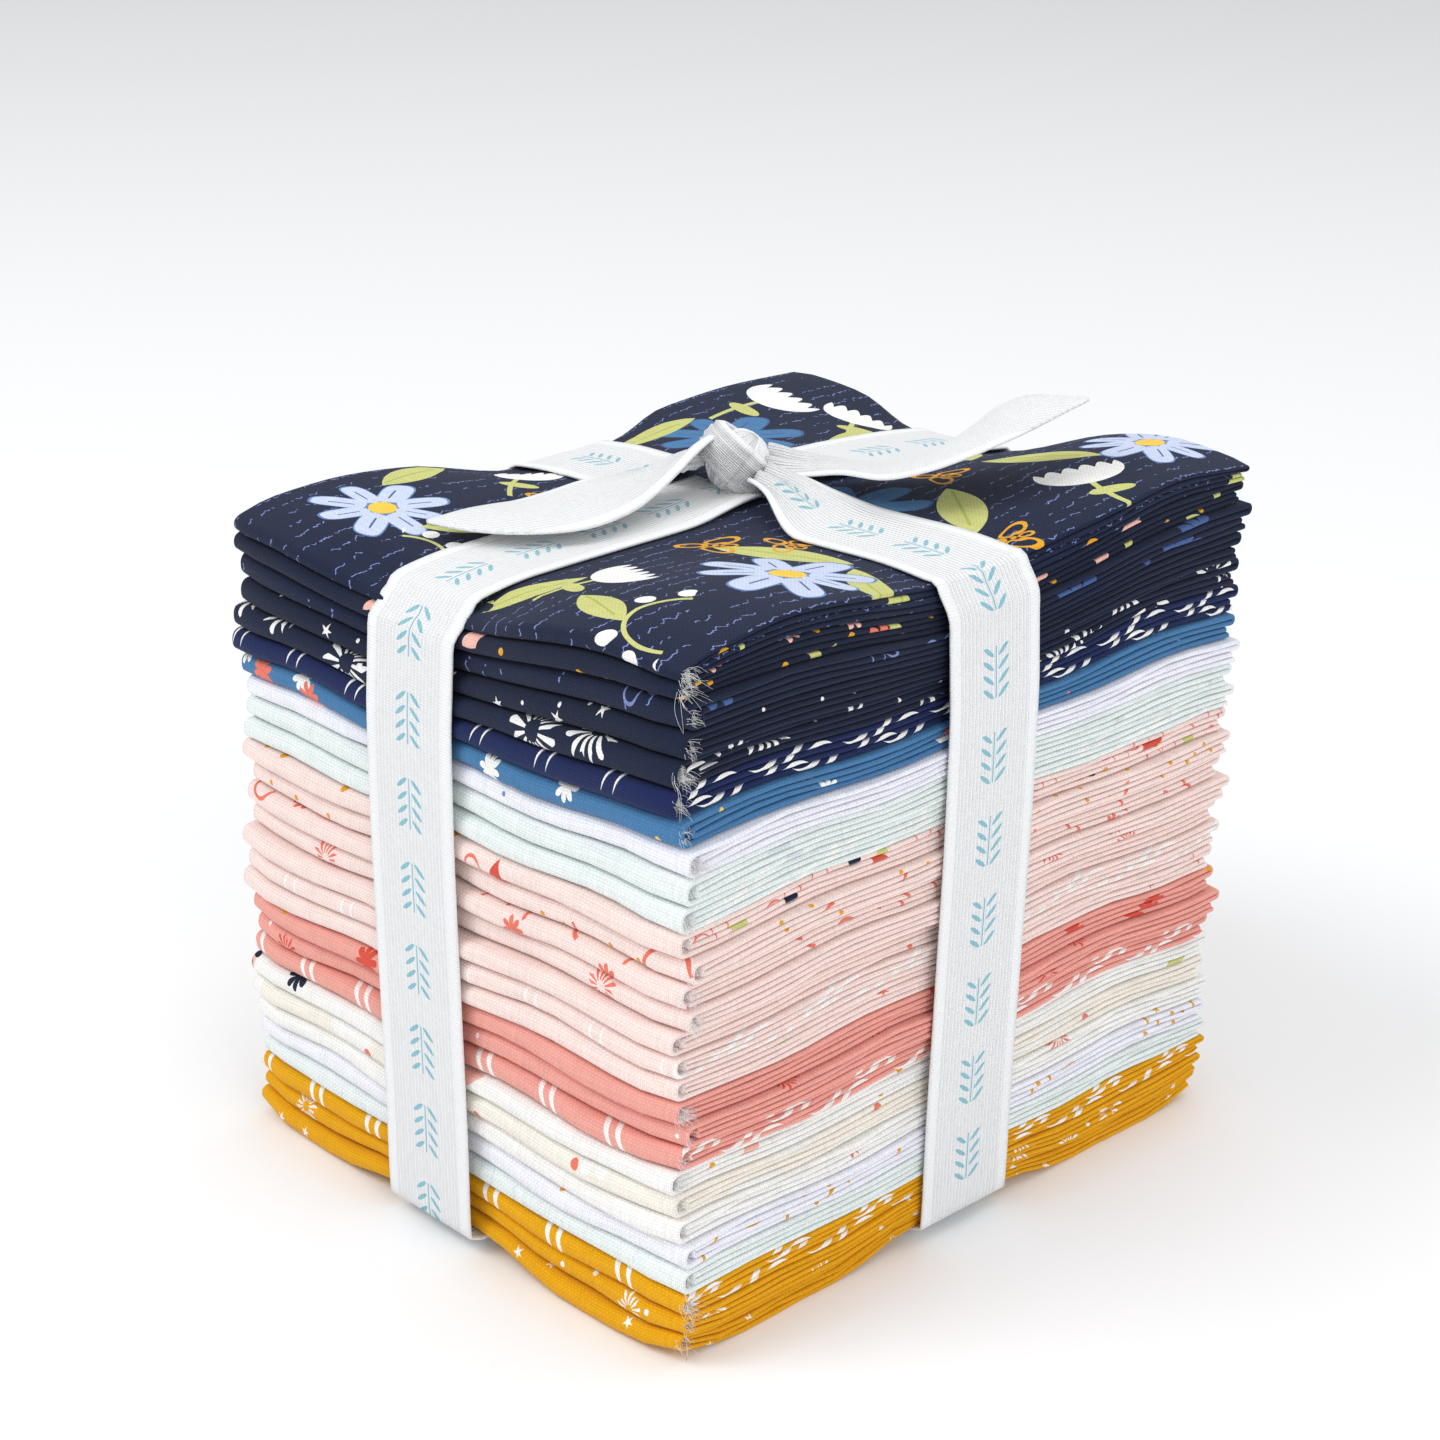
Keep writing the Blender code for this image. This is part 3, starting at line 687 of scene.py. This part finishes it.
PALE_GREY = srgb(220, 228, 232)
TAPE_WHITE = srgb(248, 249, 250)
THREAD_WHITE = srgb(244, 242, 242)
TAPE_BLUE = srgb(150, 204, 220)

THREAD = 0.42 * MM  # pitch of the cotton's weave


def operation(kind):
    """A function that adds this Math node to the graph of its first value."""
    return lambda *values: values[0].graph.math(kind, *values)


class Value:
    """What one of a material's nodes puts out. Arithmetic on it adds more nodes."""

    def __init__(self, graph, socket):
        self.graph = graph
        self.socket = socket

    __add__ = operation("ADD")
    __sub__ = operation("SUBTRACT")
    __mul__ = operation("MULTIPLY")
    __truediv__ = operation("DIVIDE")
    __mod__ = operation("FLOORED_MODULO")
    __pow__ = operation("POWER")
    __abs__ = operation("ABSOLUTE")
    __lt__ = operation("LESS_THAN")
    __gt__ = operation("GREATER_THAN")
    __and__ = operation("MULTIPLY")
    __or__ = operation("MAXIMUM")


sine = operation("SINE")
cosine = operation("COSINE")


class Graph:
    """One material's nodes, with short calls to add them."""

    def __init__(self, name, roughness, sheen):
        self.material = bpy.data.materials.new(name)
        self.material.use_nodes = True
        self.tree = self.material.node_tree
        self.shader = self.tree.nodes["Principled BSDF"]
        self.shader.inputs["Roughness"].default_value = roughness
        self.shader.inputs["Sheen Weight"].default_value = sheen
        self.shader.inputs["Sheen Roughness"].default_value = 0.5
        self.shader.inputs["Specular IOR Level"].default_value = 0.25
        self.flat = self.output(self.add("UVMap", uv_map="flat"))

    def put(self, value, socket):
        if isinstance(value, Value):
            self.tree.links.new(value.socket, socket)
        elif socket.type == "RGBA":
            socket.default_value = (*value, 1)
        else:
            socket.default_value = value

    def add(self, kind, *values, **settings):
        node = self.tree.nodes.new("ShaderNode" + kind)
        for key, value in settings.items():
            setattr(node, key, value)
        for socket, value in zip(node.inputs, values):
            self.put(value, socket)
        return node

    def output(self, node, name=0):
        return Value(self, node.outputs[name])

    def math(self, kind, *values):
        return self.output(self.add("Math", *values, operation=kind))

    def vector(self, kind, *values):
        return self.output(self.add("VectorMath", *values, operation=kind))

    def length(self, vector):
        return self.output(self.add("VectorMath", vector, operation="LENGTH"), "Value")

    def scaled(self, vector, x, y=None):
        return self.vector("MULTIPLY", vector, (x, x if y is None else y, 1))

    def combined(self, *parts):
        return self.output(self.add("CombineXYZ", *parts))

    def axes(self, vector):
        node = self.add("SeparateXYZ", vector)
        return self.output(node, "X"), self.output(node, "Y")

    def turned(self, vector, angle):
        node = self.add("VectorRotate", vector, rotation_type="Z_AXIS")
        self.put(angle, node.inputs["Angle"])
        return self.output(node)

    def polar(self, vector):
        x, y = self.axes(vector)
        return self.length(vector), self.math("ARCTAN2", y, x)

    def within(self, value, centre, reach):
        """1 where value is no further than reach from centre."""
        return self.math("COMPARE", value, centre, reach)

    def wrapped(self, value, reach):
        """The value, repeating from -reach to reach."""
        return self.math("WRAP", value, reach, -reach)

    def mix(self, share, low, high, blend="MIX"):
        node = self.add("Mix", data_type="RGBA", blend_type=blend)
        for value, place in ((share, "Factor_Float"), (low, "A_Color"), (high, "B_Color")):
            self.put(value, next(socket for socket in node.inputs if socket.identifier == place))
        return self.output(node, 2)

    def noise(self, vector, scale, detail=2.0):
        node = self.add("TexNoise", noise_dimensions="2D")
        self.put(vector, node.inputs["Vector"])
        node.inputs["Scale"].default_value = scale
        node.inputs["Detail"].default_value = detail
        return self.output(node)

    def scattered(self, spacing, seed):
        """The way from the nearest of many strewn places, turned at random, and a random number."""
        moved = self.vector("ADD", self.flat, (0.37 * seed, 0.71 * seed, 0))
        node = self.add("TexVoronoi", voronoi_dimensions="2D")
        self.put(moved, node.inputs["Vector"])
        node.inputs["Scale"].default_value = 1 / spacing
        node.inputs["Randomness"].default_value = 0.8
        local = self.vector("SUBTRACT", moved, self.output(node, "Position"))
        dice = self.add("SeparateColor", self.output(node, "Color"))
        return self.turned(local, self.output(dice) * TAU), self.output(dice, 1)

    def finish(self, colour, height, strength, depth):
        """Gives the material its colour, and relief from a height map."""
        bump = self.add("Bump")
        bump.inputs["Strength"].default_value = strength
        bump.inputs["Distance"].default_value = depth
        self.put(height, bump.inputs["Height"])
        self.put(self.output(bump), self.shader.inputs["Normal"])
        self.put(colour, self.shader.inputs["Base Color"])
        return self.material


# Each of the next seven gives 1 where its motif prints, round one of the places where it is scattered.


def dots(graph, local, size):
    return graph.length(local) < size


def stars(graph, local, size, points=5):
    """Small stars with hollow sides."""
    radius, angle = graph.polar(local)
    wave = abs(sine(angle * (points / 2)))
    return radius < wave**0.6 * (-0.65 * size) + size


def bursts(graph, local, size, strokes=14):
    """Rings of short strokes that point away from the middle."""
    radius, angle = graph.polar(local)
    wave = abs(sine(angle * (strokes / 2)))
    reach = sine(angle * (strokes / 2 + 3)) * (0.15 * size) + 0.85 * size
    return (radius < reach) & (radius > 0.28 * size) & (wave > 0.72)


def daisies(graph, local, size, petals=8):
    """Filled flowers with round petals."""
    radius, angle = graph.polar(local)
    wave = abs(cosine(angle * (petals / 2)))
    return radius < wave**0.7 * (0.6 * size) + 0.4 * size


def line_flowers(graph, local, size, petals=5, line=0.28 * MM):
    """Flowers drawn as a thin outline."""
    radius, angle = graph.polar(local)
    wave = abs(cosine(angle * (petals / 2)))
    return graph.within(radius, wave**0.8 * (0.62 * size) + 0.38 * size, line)


def leaves(graph, local, size):
    """Single pointed leaves."""
    x, y = graph.axes(graph.scaled(local, 1 / size))
    return abs(y) < x * x * -0.3 + 0.3


def arcs(graph, local, size, line=0.35 * MM):
    """Short curved lines."""
    x, _ = graph.axes(local)
    return graph.within(graph.length(local), size, line) & (x > 0.1 * size)


STRIPE_START = 9.9 * MM  # puts a pair of stripes on each fold of the layers' edges
STRIPE_SWAY = 2.4 * MM
DASH_LENGTH = 21 * MM


def double_stripes(graph, spacing, size, seed):
    """Pairs of swaying dashes along the cloth, which taper to nothing at their ends."""
    x, y = graph.axes(graph.flat)
    turn = y * (TAU / DASH_LENGTH) + seed
    swayed = sine(turn) * STRIPE_SWAY + (x - STRIPE_START)
    place = swayed % spacing
    swell = abs(cosine(turn * 0.5))
    half = swell * (0.78 * size) - 0.3 * size
    first = graph.within(place, 0.3 * spacing, half)
    second = graph.within(place, 0.3 * spacing + 2.2 * size, half)
    return first | second


def broken_lines(graph, spacing, size, share):
    """Fine jittery lines across the folds, broken into short strokes with wider gaps between groups."""
    x, y = graph.axes(graph.flat)
    jitter = graph.noise(graph.scaled(graph.flat, 0.25, 1), 1 / (1.5 * MM), 2.0)
    line = jitter * (2.6 * MM / spacing) + x * (1 / spacing)
    number = graph.math("FLOOR", line)
    apart = abs(graph.math("FRACT", line) - 0.5)
    row = graph.combined(y * (1 / (7 * MM)), number * 7.3)
    group = graph.noise(row, 1.0, 1.0) > 1 - share
    stroke = graph.noise(graph.scaled(row, 6), 1.0, 1.0) > 0.46
    return (apart < size / spacing) & group & stroke


def cotton(graph, colour):
    """Finishes a print: a plain weave with slightly uneven threads, in its colour and its relief."""
    x, y = graph.axes(graph.scaled(graph.flat, math.pi / THREAD))
    weave = sine(x) * sine(y)
    height = weave * 0.35 + abs(weave)
    slubs = graph.noise(graph.scaled(graph.flat, 1 / (9 * MM), 1 / (0.5 * MM)), 1.0)
    cross = graph.noise(graph.scaled(graph.flat, 1 / (0.5 * MM), 1 / (11 * MM)), 1.0)
    uneven = slubs + cross
    cloudy = graph.noise(graph.flat, 1 / (30 * MM), 3.0)
    shade = (height * 0.26 + (uneven * 0.22 + 0.62)) * (cloudy * 0.1 + 0.95)
    woven = graph.mix(1.0, colour, graph.combined(shade, shade, shade), "MULTIPLY")
    return graph.finish(woven, uneven * 0.5 + height, strength=0.7, depth=0.07 * MM)


# One row for each fat quarter, from the top down. Each motif is its function, its spacing and size in
# mm, its colour, and the share of its places that hold one.
Motif = namedtuple("Motif", "kind spacing size colour share")
Print = namedtuple("Print", "slot ground motifs")
PRINTS = (
    Print("navy_print", NAVY, ()),
    Print("navy_print", DEEP_NAVY, (
        Motif(leaves, 26, 7, BLUSH, 0.45), Motif(daisies, 31, 5, CORAL, 0.5), Motif(dots, 8, 0.7, GOLD, 0.5),
        Motif(leaves, 20, 4, OLIVE, 0.4), Motif(daisies, 17, 3, BLUSH, 0.4))),
    Print("navy_print", NAVY, (
        Motif(broken_lines, 5, 0.17, INK_BLUE, 0.5), Motif(daisies, 30, 6, SLATE, 0.4),
        Motif(line_flowers, 26, 5, INK_BLUE, 0.5))),
    Print("navy_print", DEEP_NAVY, (
        Motif(stars, 12, 1.4, PRINT_WHITE, 0.7), Motif(dots, 9, 0.35, PRINT_WHITE, 0.4))),
    Print("navy_print", NAVY, (
        Motif(bursts, 19, 6.0, PRINT_WHITE, 0.75), Motif(dots, 10, 0.3, PRINT_WHITE, 0.3))),
    Print("royal_print", ROYAL, (Motif(double_stripes, 16.5, 1.25, PRINT_WHITE, 1),)),
    Print("blue_print", BLUE, (
        Motif(daisies, 13, 2.6, PRINT_WHITE, 0.45), Motif(daisies, 17, 2.8, CORAL, 0.45),
        Motif(dots, 11, 0.5, YELLOW, 0.4))),
    Print("lavender_print", LAVENDER, (Motif(dots, 12, 0.4, INK_BLUE, 0.15),)),
    Print("mint_print", MINT, (Motif(leaves, 24, 5, PALE_GREY, 0.5),)),
    Print("mint_print", MINT, (
        Motif(double_stripes, 16.5, 1.2, PRINT_WHITE, 1), Motif(leaves, 26, 4, OLIVE, 0.2))),
    Print("pink_print", PALE_PINK, (
        Motif(line_flowers, 20, 6, CORAL, 0.7), Motif(leaves, 24, 7, RED_CORAL, 0.3),
        Motif(leaves, 30, 8, OLIVE, 0.35), Motif(dots, 24, 1.5, NAVY, 0.4), Motif(dots, 12, 0.8, GOLD, 0.4))),
    Print("pink_print", PALE_PINK, (Motif(dots, 7, 0.5, GOLD, 0.5), Motif(arcs, 18, 5, CORAL, 0.6))),
    Print("pink_print", PALE_PINK, (Motif(arcs, 12, 3, CORAL, 0.6), Motif(daisies, 28, 2.5, CORAL, 0.4))),
    Print("pink_print", PALE_PINK, (Motif(bursts, 20, 3.4, CORAL, 0.6), Motif(dots, 26, 1.2, NAVY, 0.2))),
    Print("pink_print", PALE_PINK, (Motif(dots, 18, 0.6, CORAL, 0.5),)),
    Print("pink_print", PALE_PINK, (Motif(double_stripes, 16.5, 1.2, PRINT_WHITE, 1),)),
    Print("pink_print", PALE_PINK, (Motif(stars, 20, 1.5, CORAL, 0.5), Motif(leaves, 30, 3, OLIVE, 0.2))),
    Print("salmon_print", SALMON, (Motif(daisies, 20, 3, RED_CORAL, 0.4), Motif(dots, 15, 0.8, GOLD, 0.3))),
    Print("salmon_print", SALMON, (
        Motif(bursts, 26, 3.2, RED_CORAL, 0.6), Motif(dots, 12, 0.4, PRINT_WHITE, 0.3))),
    Print("salmon_print", SALMON, (Motif(double_stripes, 16.5, 1.25, PRINT_WHITE, 1),)),
    Print("white_print", WHITE, (
        Motif(leaves, 24, 5, BLUSH, 0.4), Motif(daisies, 30, 3.2, NAVY, 0.25),
        Motif(leaves, 26, 4, OLIVE, 0.35), Motif(dots, 12, 0.8, GOLD, 0.4))),
    Print("cream_print", CREAM, (Motif(daisies, 26, 6, WHITE, 0.6), Motif(dots, 16, 0.9, CORAL, 0.3))),
    Print("white_print", WHITE, (Motif(stars, 12, 1.2, GOLD, 0.5), Motif(bursts, 28, 3.4, CORAL, 0.5))),
    Print("lavender_print", LAVENDER, (
        Motif(arcs, 17, 4.5, GOLD, 0.7), Motif(dots, 9, 0.6, GOLD, 0.5),
        Motif(leaves, 30, 4, INK_BLUE, 0.15))),
    Print("mint_print", MINT, (Motif(broken_lines, 6, 0.3, PALE_GREY, 0.5),)),
    Print("mustard_print", MUSTARD, (Motif(double_stripes, 16.5, 1.25, PRINT_WHITE, 1),)),
    Print("mustard_print", MUSTARD, (
        Motif(bursts, 20, 3.2, PRINT_WHITE, 0.7), Motif(dots, 8, 0.5, PRINT_WHITE, 0.3))),
    Print("mustard_print", MUSTARD, (Motif(stars, 11, 1.2, PRINT_WHITE, 0.7),)),
)


def printed(graph, motif, seed):
    """1 where this motif prints."""
    spacing, size = motif.spacing * MM, motif.size * MM
    if motif.kind is double_stripes:
        return double_stripes(graph, spacing, size, seed)
    if motif.kind is broken_lines:
        return broken_lines(graph, spacing, size, motif.share)
    local, present = graph.scattered(spacing, seed)
    return motif.kind(graph, local, size) & (present < motif.share)


def print_material(number, row):
    graph = Graph(f"{row.slot}_{number:02d}", roughness=0.88, sheen=0.05)
    colour = row.ground
    if number == 1:
        colour = flowered(graph, colour)
    for place, motif in enumerate(row.motifs):
        colour = graph.mix(printed(graph, motif, number + 0.137 * place), colour, motif.colour)
    return cotton(graph, colour)


def placed(graph, row):
    """The way from the middle of one flower, turned with it, its size being 1."""
    centre = (row.x * MM, TOP_FACE_START + row.y * MM, 0)
    way = graph.vector("SUBTRACT", graph.flat, centre)
    way = graph.vector("WRAP", way, (REPEAT_X / 2, REPEAT_Y / 2, 1), (-REPEAT_X / 2, -REPEAT_Y / 2, -1))
    return graph.scaled(graph.turned(way, -math.radians(row.turn)), 1 / (row.size * MM))


def leaf(graph, local):
    x, y = graph.axes(local)
    side = x * x * -0.34 + 0.34
    body = abs(y) < side
    bent = x * 0.05 + y
    vein = graph.within(bent, 0, 0.022) & graph.within(x, -0.1, 0.75)
    return (body, OLIVE), (vein, LEAF_GREEN)


def petal_ring(graph, local, petals, uneven=0.1):
    """The way from the middle of the nearest petal, whose edge is at 1, and the flower's own radius."""
    radius, angle = graph.polar(local)
    part = graph.wrapped(sine(angle * 2) * uneven + angle, math.pi / petals)
    reach = radius * (cosine(angle * 3) * uneven + 1.0)
    x = reach * cosine(part)
    y = reach * sine(part)
    return graph.combined(x * 2.5 - 1.5, y / (1.5 / petals)), radius


def blunt_length(graph, way):
    """A vector's length, but smaller near the diagonals, so that equal lengths make blunt ovals."""
    x, y = graph.axes(graph.vector("MULTIPLY", graph.vector("MULTIPLY", way, way), way))
    return (abs(x) + abs(y)) ** (1 / 3)


def bloom(graph, local, fill=PERIWINKLE, line=SKY):
    petal, radius = petal_ring(graph, local, 8)
    reach = blunt_length(graph, petal)
    x, y = graph.axes(petal)
    stroke = graph.within(y, 0.1, 0.07) & graph.within(x, -0.1, 0.45)
    return (reach < 1.04, line), (reach < 0.94, fill), (stroke, SLATE), (radius < 0.21, YELLOW)


def blue_bloom(graph, local):
    return bloom(graph, local, fill=BLUE, line=SLATE)


def sprig(graph, local):
    petal, radius = petal_ring(graph, local, 4, uneven=0.3)
    return (graph.within(graph.length(petal), 0.85, 0.2), GOLD), (radius < 0.12, GOLD)


def from_oval(graph, local, centre, x, y):
    """How far a place is from an oval's centre, as a share of the oval's reach that way."""
    way = graph.vector("SUBTRACT", local, centre)
    return graph.length(graph.scaled(way, x, y))


def bud(graph, local):
    """A fan-shaped white bud on a stem with a small leaf across it."""
    x, y = graph.axes(local)
    ragged = abs(sine(x * 11)) * 0.2 + 0.38
    body = (from_oval(graph, local, (0, 0.35, 0), 1.35, 1.7) < 1) & (y < ragged)
    bent = y * y * -0.16 + x
    stem = graph.within(bent, 0, 0.05) & graph.within(y, -0.75, 0.6)
    small_leaf = from_oval(graph, local, (0.2, -0.62, 0), 2.6, 7) < 1
    return (stem | small_leaf, OLIVE), (body, PRINT_WHITE)


def berries(graph, local):
    """A curved stem with white berries along it."""
    radius, angle = graph.polar(local)
    part = graph.within(angle, 0.2, 1.5)
    stem = graph.within(radius, 1, 0.045) & part
    turn = graph.wrapped(angle, 0.3)
    berry = graph.length(graph.combined(cosine(turn) * radius - 1.3, sine(turn) * radius))
    return (stem, OLIVE), ((berry < 0.19) & part, PRINT_WHITE)


# The flowers of the top print. It repeats, and places on it are given from the corner of the folded
# cloth's top face: x along the front fold and y away from it, in mm. turn is in degrees.
REPEAT_X = 152 * MM
REPEAT_Y = 186 * MM
TOP_FACE_START = 144 * MM
Flower = namedtuple("Flower", "kind x y size turn")
FLOWERS = (
    Flower(leaf, 84, 50, 13, 20), Flower(leaf, 109, 46, 12, 150), Flower(bloom, 97, 38, 15, 10),
    Flower(leaf, 66, 9, 11, 70), Flower(bud, 74, 20, 11, -25), Flower(sprig, 71, 47, 5, 40),
    Flower(sprig, 80, 56, 4.4, 0), Flower(berries, 104, 8, 9, 200), Flower(leaf, 88, 6, 9, -20),
    Flower(bloom, 17, 18, 12, 35), Flower(leaf, 32, 27, 10, 60), Flower(leaf, 5, 34, 10, 110),
    Flower(sprig, 30, 47, 4.6, 15), Flower(bud, 14, 52, 10, 30), Flower(berries, 34, 8, 8, 40),
    Flower(blue_bloom, 72, 78, 14, 0), Flower(leaf, 90, 88, 12, -35), Flower(bud, 101, 108, 11, 60),
    Flower(leaf, 84, 116, 12, 15), Flower(sprig, 108, 84, 5, 70), Flower(sprig, 74, 101, 4.4, 20),
    Flower(bloom, 96, 132, 13, 0), Flower(blue_bloom, 24, 96, 14, 25), Flower(leaf, 8, 88, 12, 80),
    Flower(bud, 12, 118, 12, -10), Flower(bud, 29, 126, 11, 25), Flower(leaf, 40, 112, 12, 120),
    Flower(sprig, 46, 134, 5, 0), Flower(leaf, 60, 122, 11, -40),
)


def flowered(graph, colour):
    """The top print: fine broken lines under flowers, buds, leaves and sprigs."""
    lines = broken_lines(graph, 3.9 * MM, 0.13 * MM, share=0.58)
    colour = graph.mix(lines, colour, INK_BLUE)
    for row in FLOWERS:
        for mask, tint in row.kind(graph, placed(graph, row)):
            colour = graph.mix(mask, colour, tint)
    return colour


TAPE_RIB = 0.9 * MM
TAPE_CROSS_THREAD = 0.5 * MM
SELVEDGE = 2.4 * MM
SPRIG_REPEAT = 15 * MM
SPRIG_LENGTH = 9 * MM
LEAF_PAIRS = 2.4 * MM  # from one pair of a sprig's leaves to the next
LEAF_HALF_WIDTH = 0.5 * MM
LEAF_HALF_LENGTH = 1.3 * MM
STEM_HALF_WIDTH = 0.17 * MM


def tape_sprigs(graph):
    """Sprigs printed along the middle of the tape: a stem with pairs of slanting leaves."""
    x, y = graph.axes(graph.flat)
    place = graph.wrapped(y, SPRIG_REPEAT / 2)
    inside = graph.within(place, 0, SPRIG_LENGTH / 2)
    aside = abs(x)
    pair = graph.wrapped(aside * -0.7 + place, LEAF_PAIRS / 2)
    from_leaf = graph.combined(aside * (1 / LEAF_HALF_LENGTH) - 1.45, pair / LEAF_HALF_WIDTH)
    return inside & ((graph.length(from_leaf) < 1) | (aside < STEM_HALF_WIDTH))


def tape_material(name, sprigged):
    """White cotton tape: fine ribs along it between two plain selvedges, and threads across it."""
    graph = Graph(name, roughness=0.8, sheen=0.1)
    x, y = graph.axes(graph.flat)
    ribbed = abs(x) < TAPE_WIDTH / 2 - SELVEDGE
    ribs = sine(x * (TAU / TAPE_RIB)) * ribbed
    cross = sine(y * (TAU / TAPE_CROSS_THREAD))
    fuzz = graph.noise(graph.scaled(graph.flat, 1 / (0.6 * MM), 1 / (1.2 * MM)), 1.0)
    height = fuzz * 0.8 + (cross * 0.3 + ribs)
    shade = height * 0.055 + 0.92
    colour = graph.mix(tape_sprigs(graph), TAPE_WHITE, TAPE_BLUE) if sprigged else TAPE_WHITE
    shaded = graph.vector("MULTIPLY", graph.combined(shade, shade, shade), colour)
    return graph.finish(shaded, height, strength=0.8, depth=0.17 * MM)


def thread_material(number, ground):
    """Fluffed-out cotton, paler than the cloth that it comes from."""
    graph = Graph(f"frayed_threads_{number:02d}", roughness=0.9, sheen=0.3)
    fuzz = graph.noise(graph.scaled(graph.flat, 1 / (0.3 * MM)), 1.0)
    pale = tuple(between(dyed, white, 0.85) for dyed, white in zip(ground, THREAD_WHITE))
    graph.put(graph.mix(fuzz, pale, THREAD_WHITE), graph.shader.inputs["Base Color"])
    return graph.material


def plain_material(name, colour):
    made = bpy.data.materials.new(name)
    made.use_nodes = True
    shader = made.node_tree.nodes["Principled BSDF"]
    shader.inputs["Base Color"].default_value = (*colour, 1)
    shader.inputs["Roughness"].default_value = 0.9
    return made


# ---------------------------------------------------------------- camera, light and floor

CAMERA_AT = Vector((0.3474, -0.3468, 0.2720))
CAMERA_HEADING = math.radians(45.54)  # from +Y towards -X
CAMERA_DOWN = math.radians(21.56)
CAMERA_ROLL = math.radians(1.26)
CAMERA_LENS = 72.93
SENSOR = 36


def add_camera():
    data = bpy.data.cameras.new("camera")
    data.lens = CAMERA_LENS
    data.sensor_width = SENSOR
    data.clip_end = 20
    camera = bpy.data.objects.new("camera", data)
    turn = Matrix.Rotation(CAMERA_HEADING, 4, "Z") @ Matrix.Rotation(math.pi / 2 - CAMERA_DOWN, 4, "X")
    roll = Matrix.Rotation(CAMERA_ROLL, 4, "Z")
    camera.matrix_world = Matrix.Translation(CAMERA_AT) @ turn @ roll
    bpy.context.scene.collection.objects.link(camera)
    bpy.context.scene.camera = camera


def add_light(name, place, size, power):
    data = bpy.data.lights.new(name, "AREA")
    data.shape = "DISK"
    data.size = size
    data.energy = power
    light = bpy.data.objects.new(name, data)
    light.location = place
    aim = Vector((0, 0, 0.06)) - Vector(place)
    light.rotation_euler = aim.to_track_quat("-Z", "Y").to_euler()
    bpy.context.scene.collection.objects.link(light)


def add_surroundings():
    scene = bpy.context.scene
    scene.view_settings.view_transform = "Standard"
    world = bpy.data.worlds.new("studio")
    world.use_nodes = True
    world.node_tree.nodes["Background"].inputs["Color"].default_value = (0.96, 0.98, 1.0, 1)
    world.node_tree.nodes["Background"].inputs["Strength"].default_value = 0.64
    scene.world = world
    add_light("key", (-0.55, -0.95, 1.25), 0.9, 10)
    add_light("fill", (1.3, -0.35, 0.7), 1.2, 6)
    add_light("top", (0.1, 0.4, 1.4), 1.2, 5)
    bpy.ops.mesh.primitive_plane_add(size=8, location=(0, 0, 0))
    floor = bpy.context.object
    floor.name = "floor"
    floor.data.materials.append(plain_material("floor_paper", (0.93, 0.93, 0.93)))


def main():
    add_camera()
    add_surroundings()
    for number in range(1, PIECES + 1):
        row = PRINTS[number - 1]
        cloth = folded_quarter(number, print_material(number, row))
        threads = frayed_threads(number, thread_material(number, row.ground))
    white = tape_material("cotton_tape_bare", sprigged=False)
    sprigged = tape_material("cotton_tape_sprigged", sprigged=True)
    knotted = knot(white)
    for name, node, across, tied in (
        ("tape_over_folds", "tape_across_folds", True, knotted),
        ("tape_beside_folds", "tape_along_folds", False, []),
    ):
        made, length = tape(name, across, sprigged)
        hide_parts(node)
    for name, node, sections in (
        ("left_tail", "tape_tail_left", LEFT_TAIL),
        ("right_tail", "tape_tail_right", RIGHT_TAIL),
    ):
        made, length, area = tail(name, sections, white)
        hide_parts(node)


main()
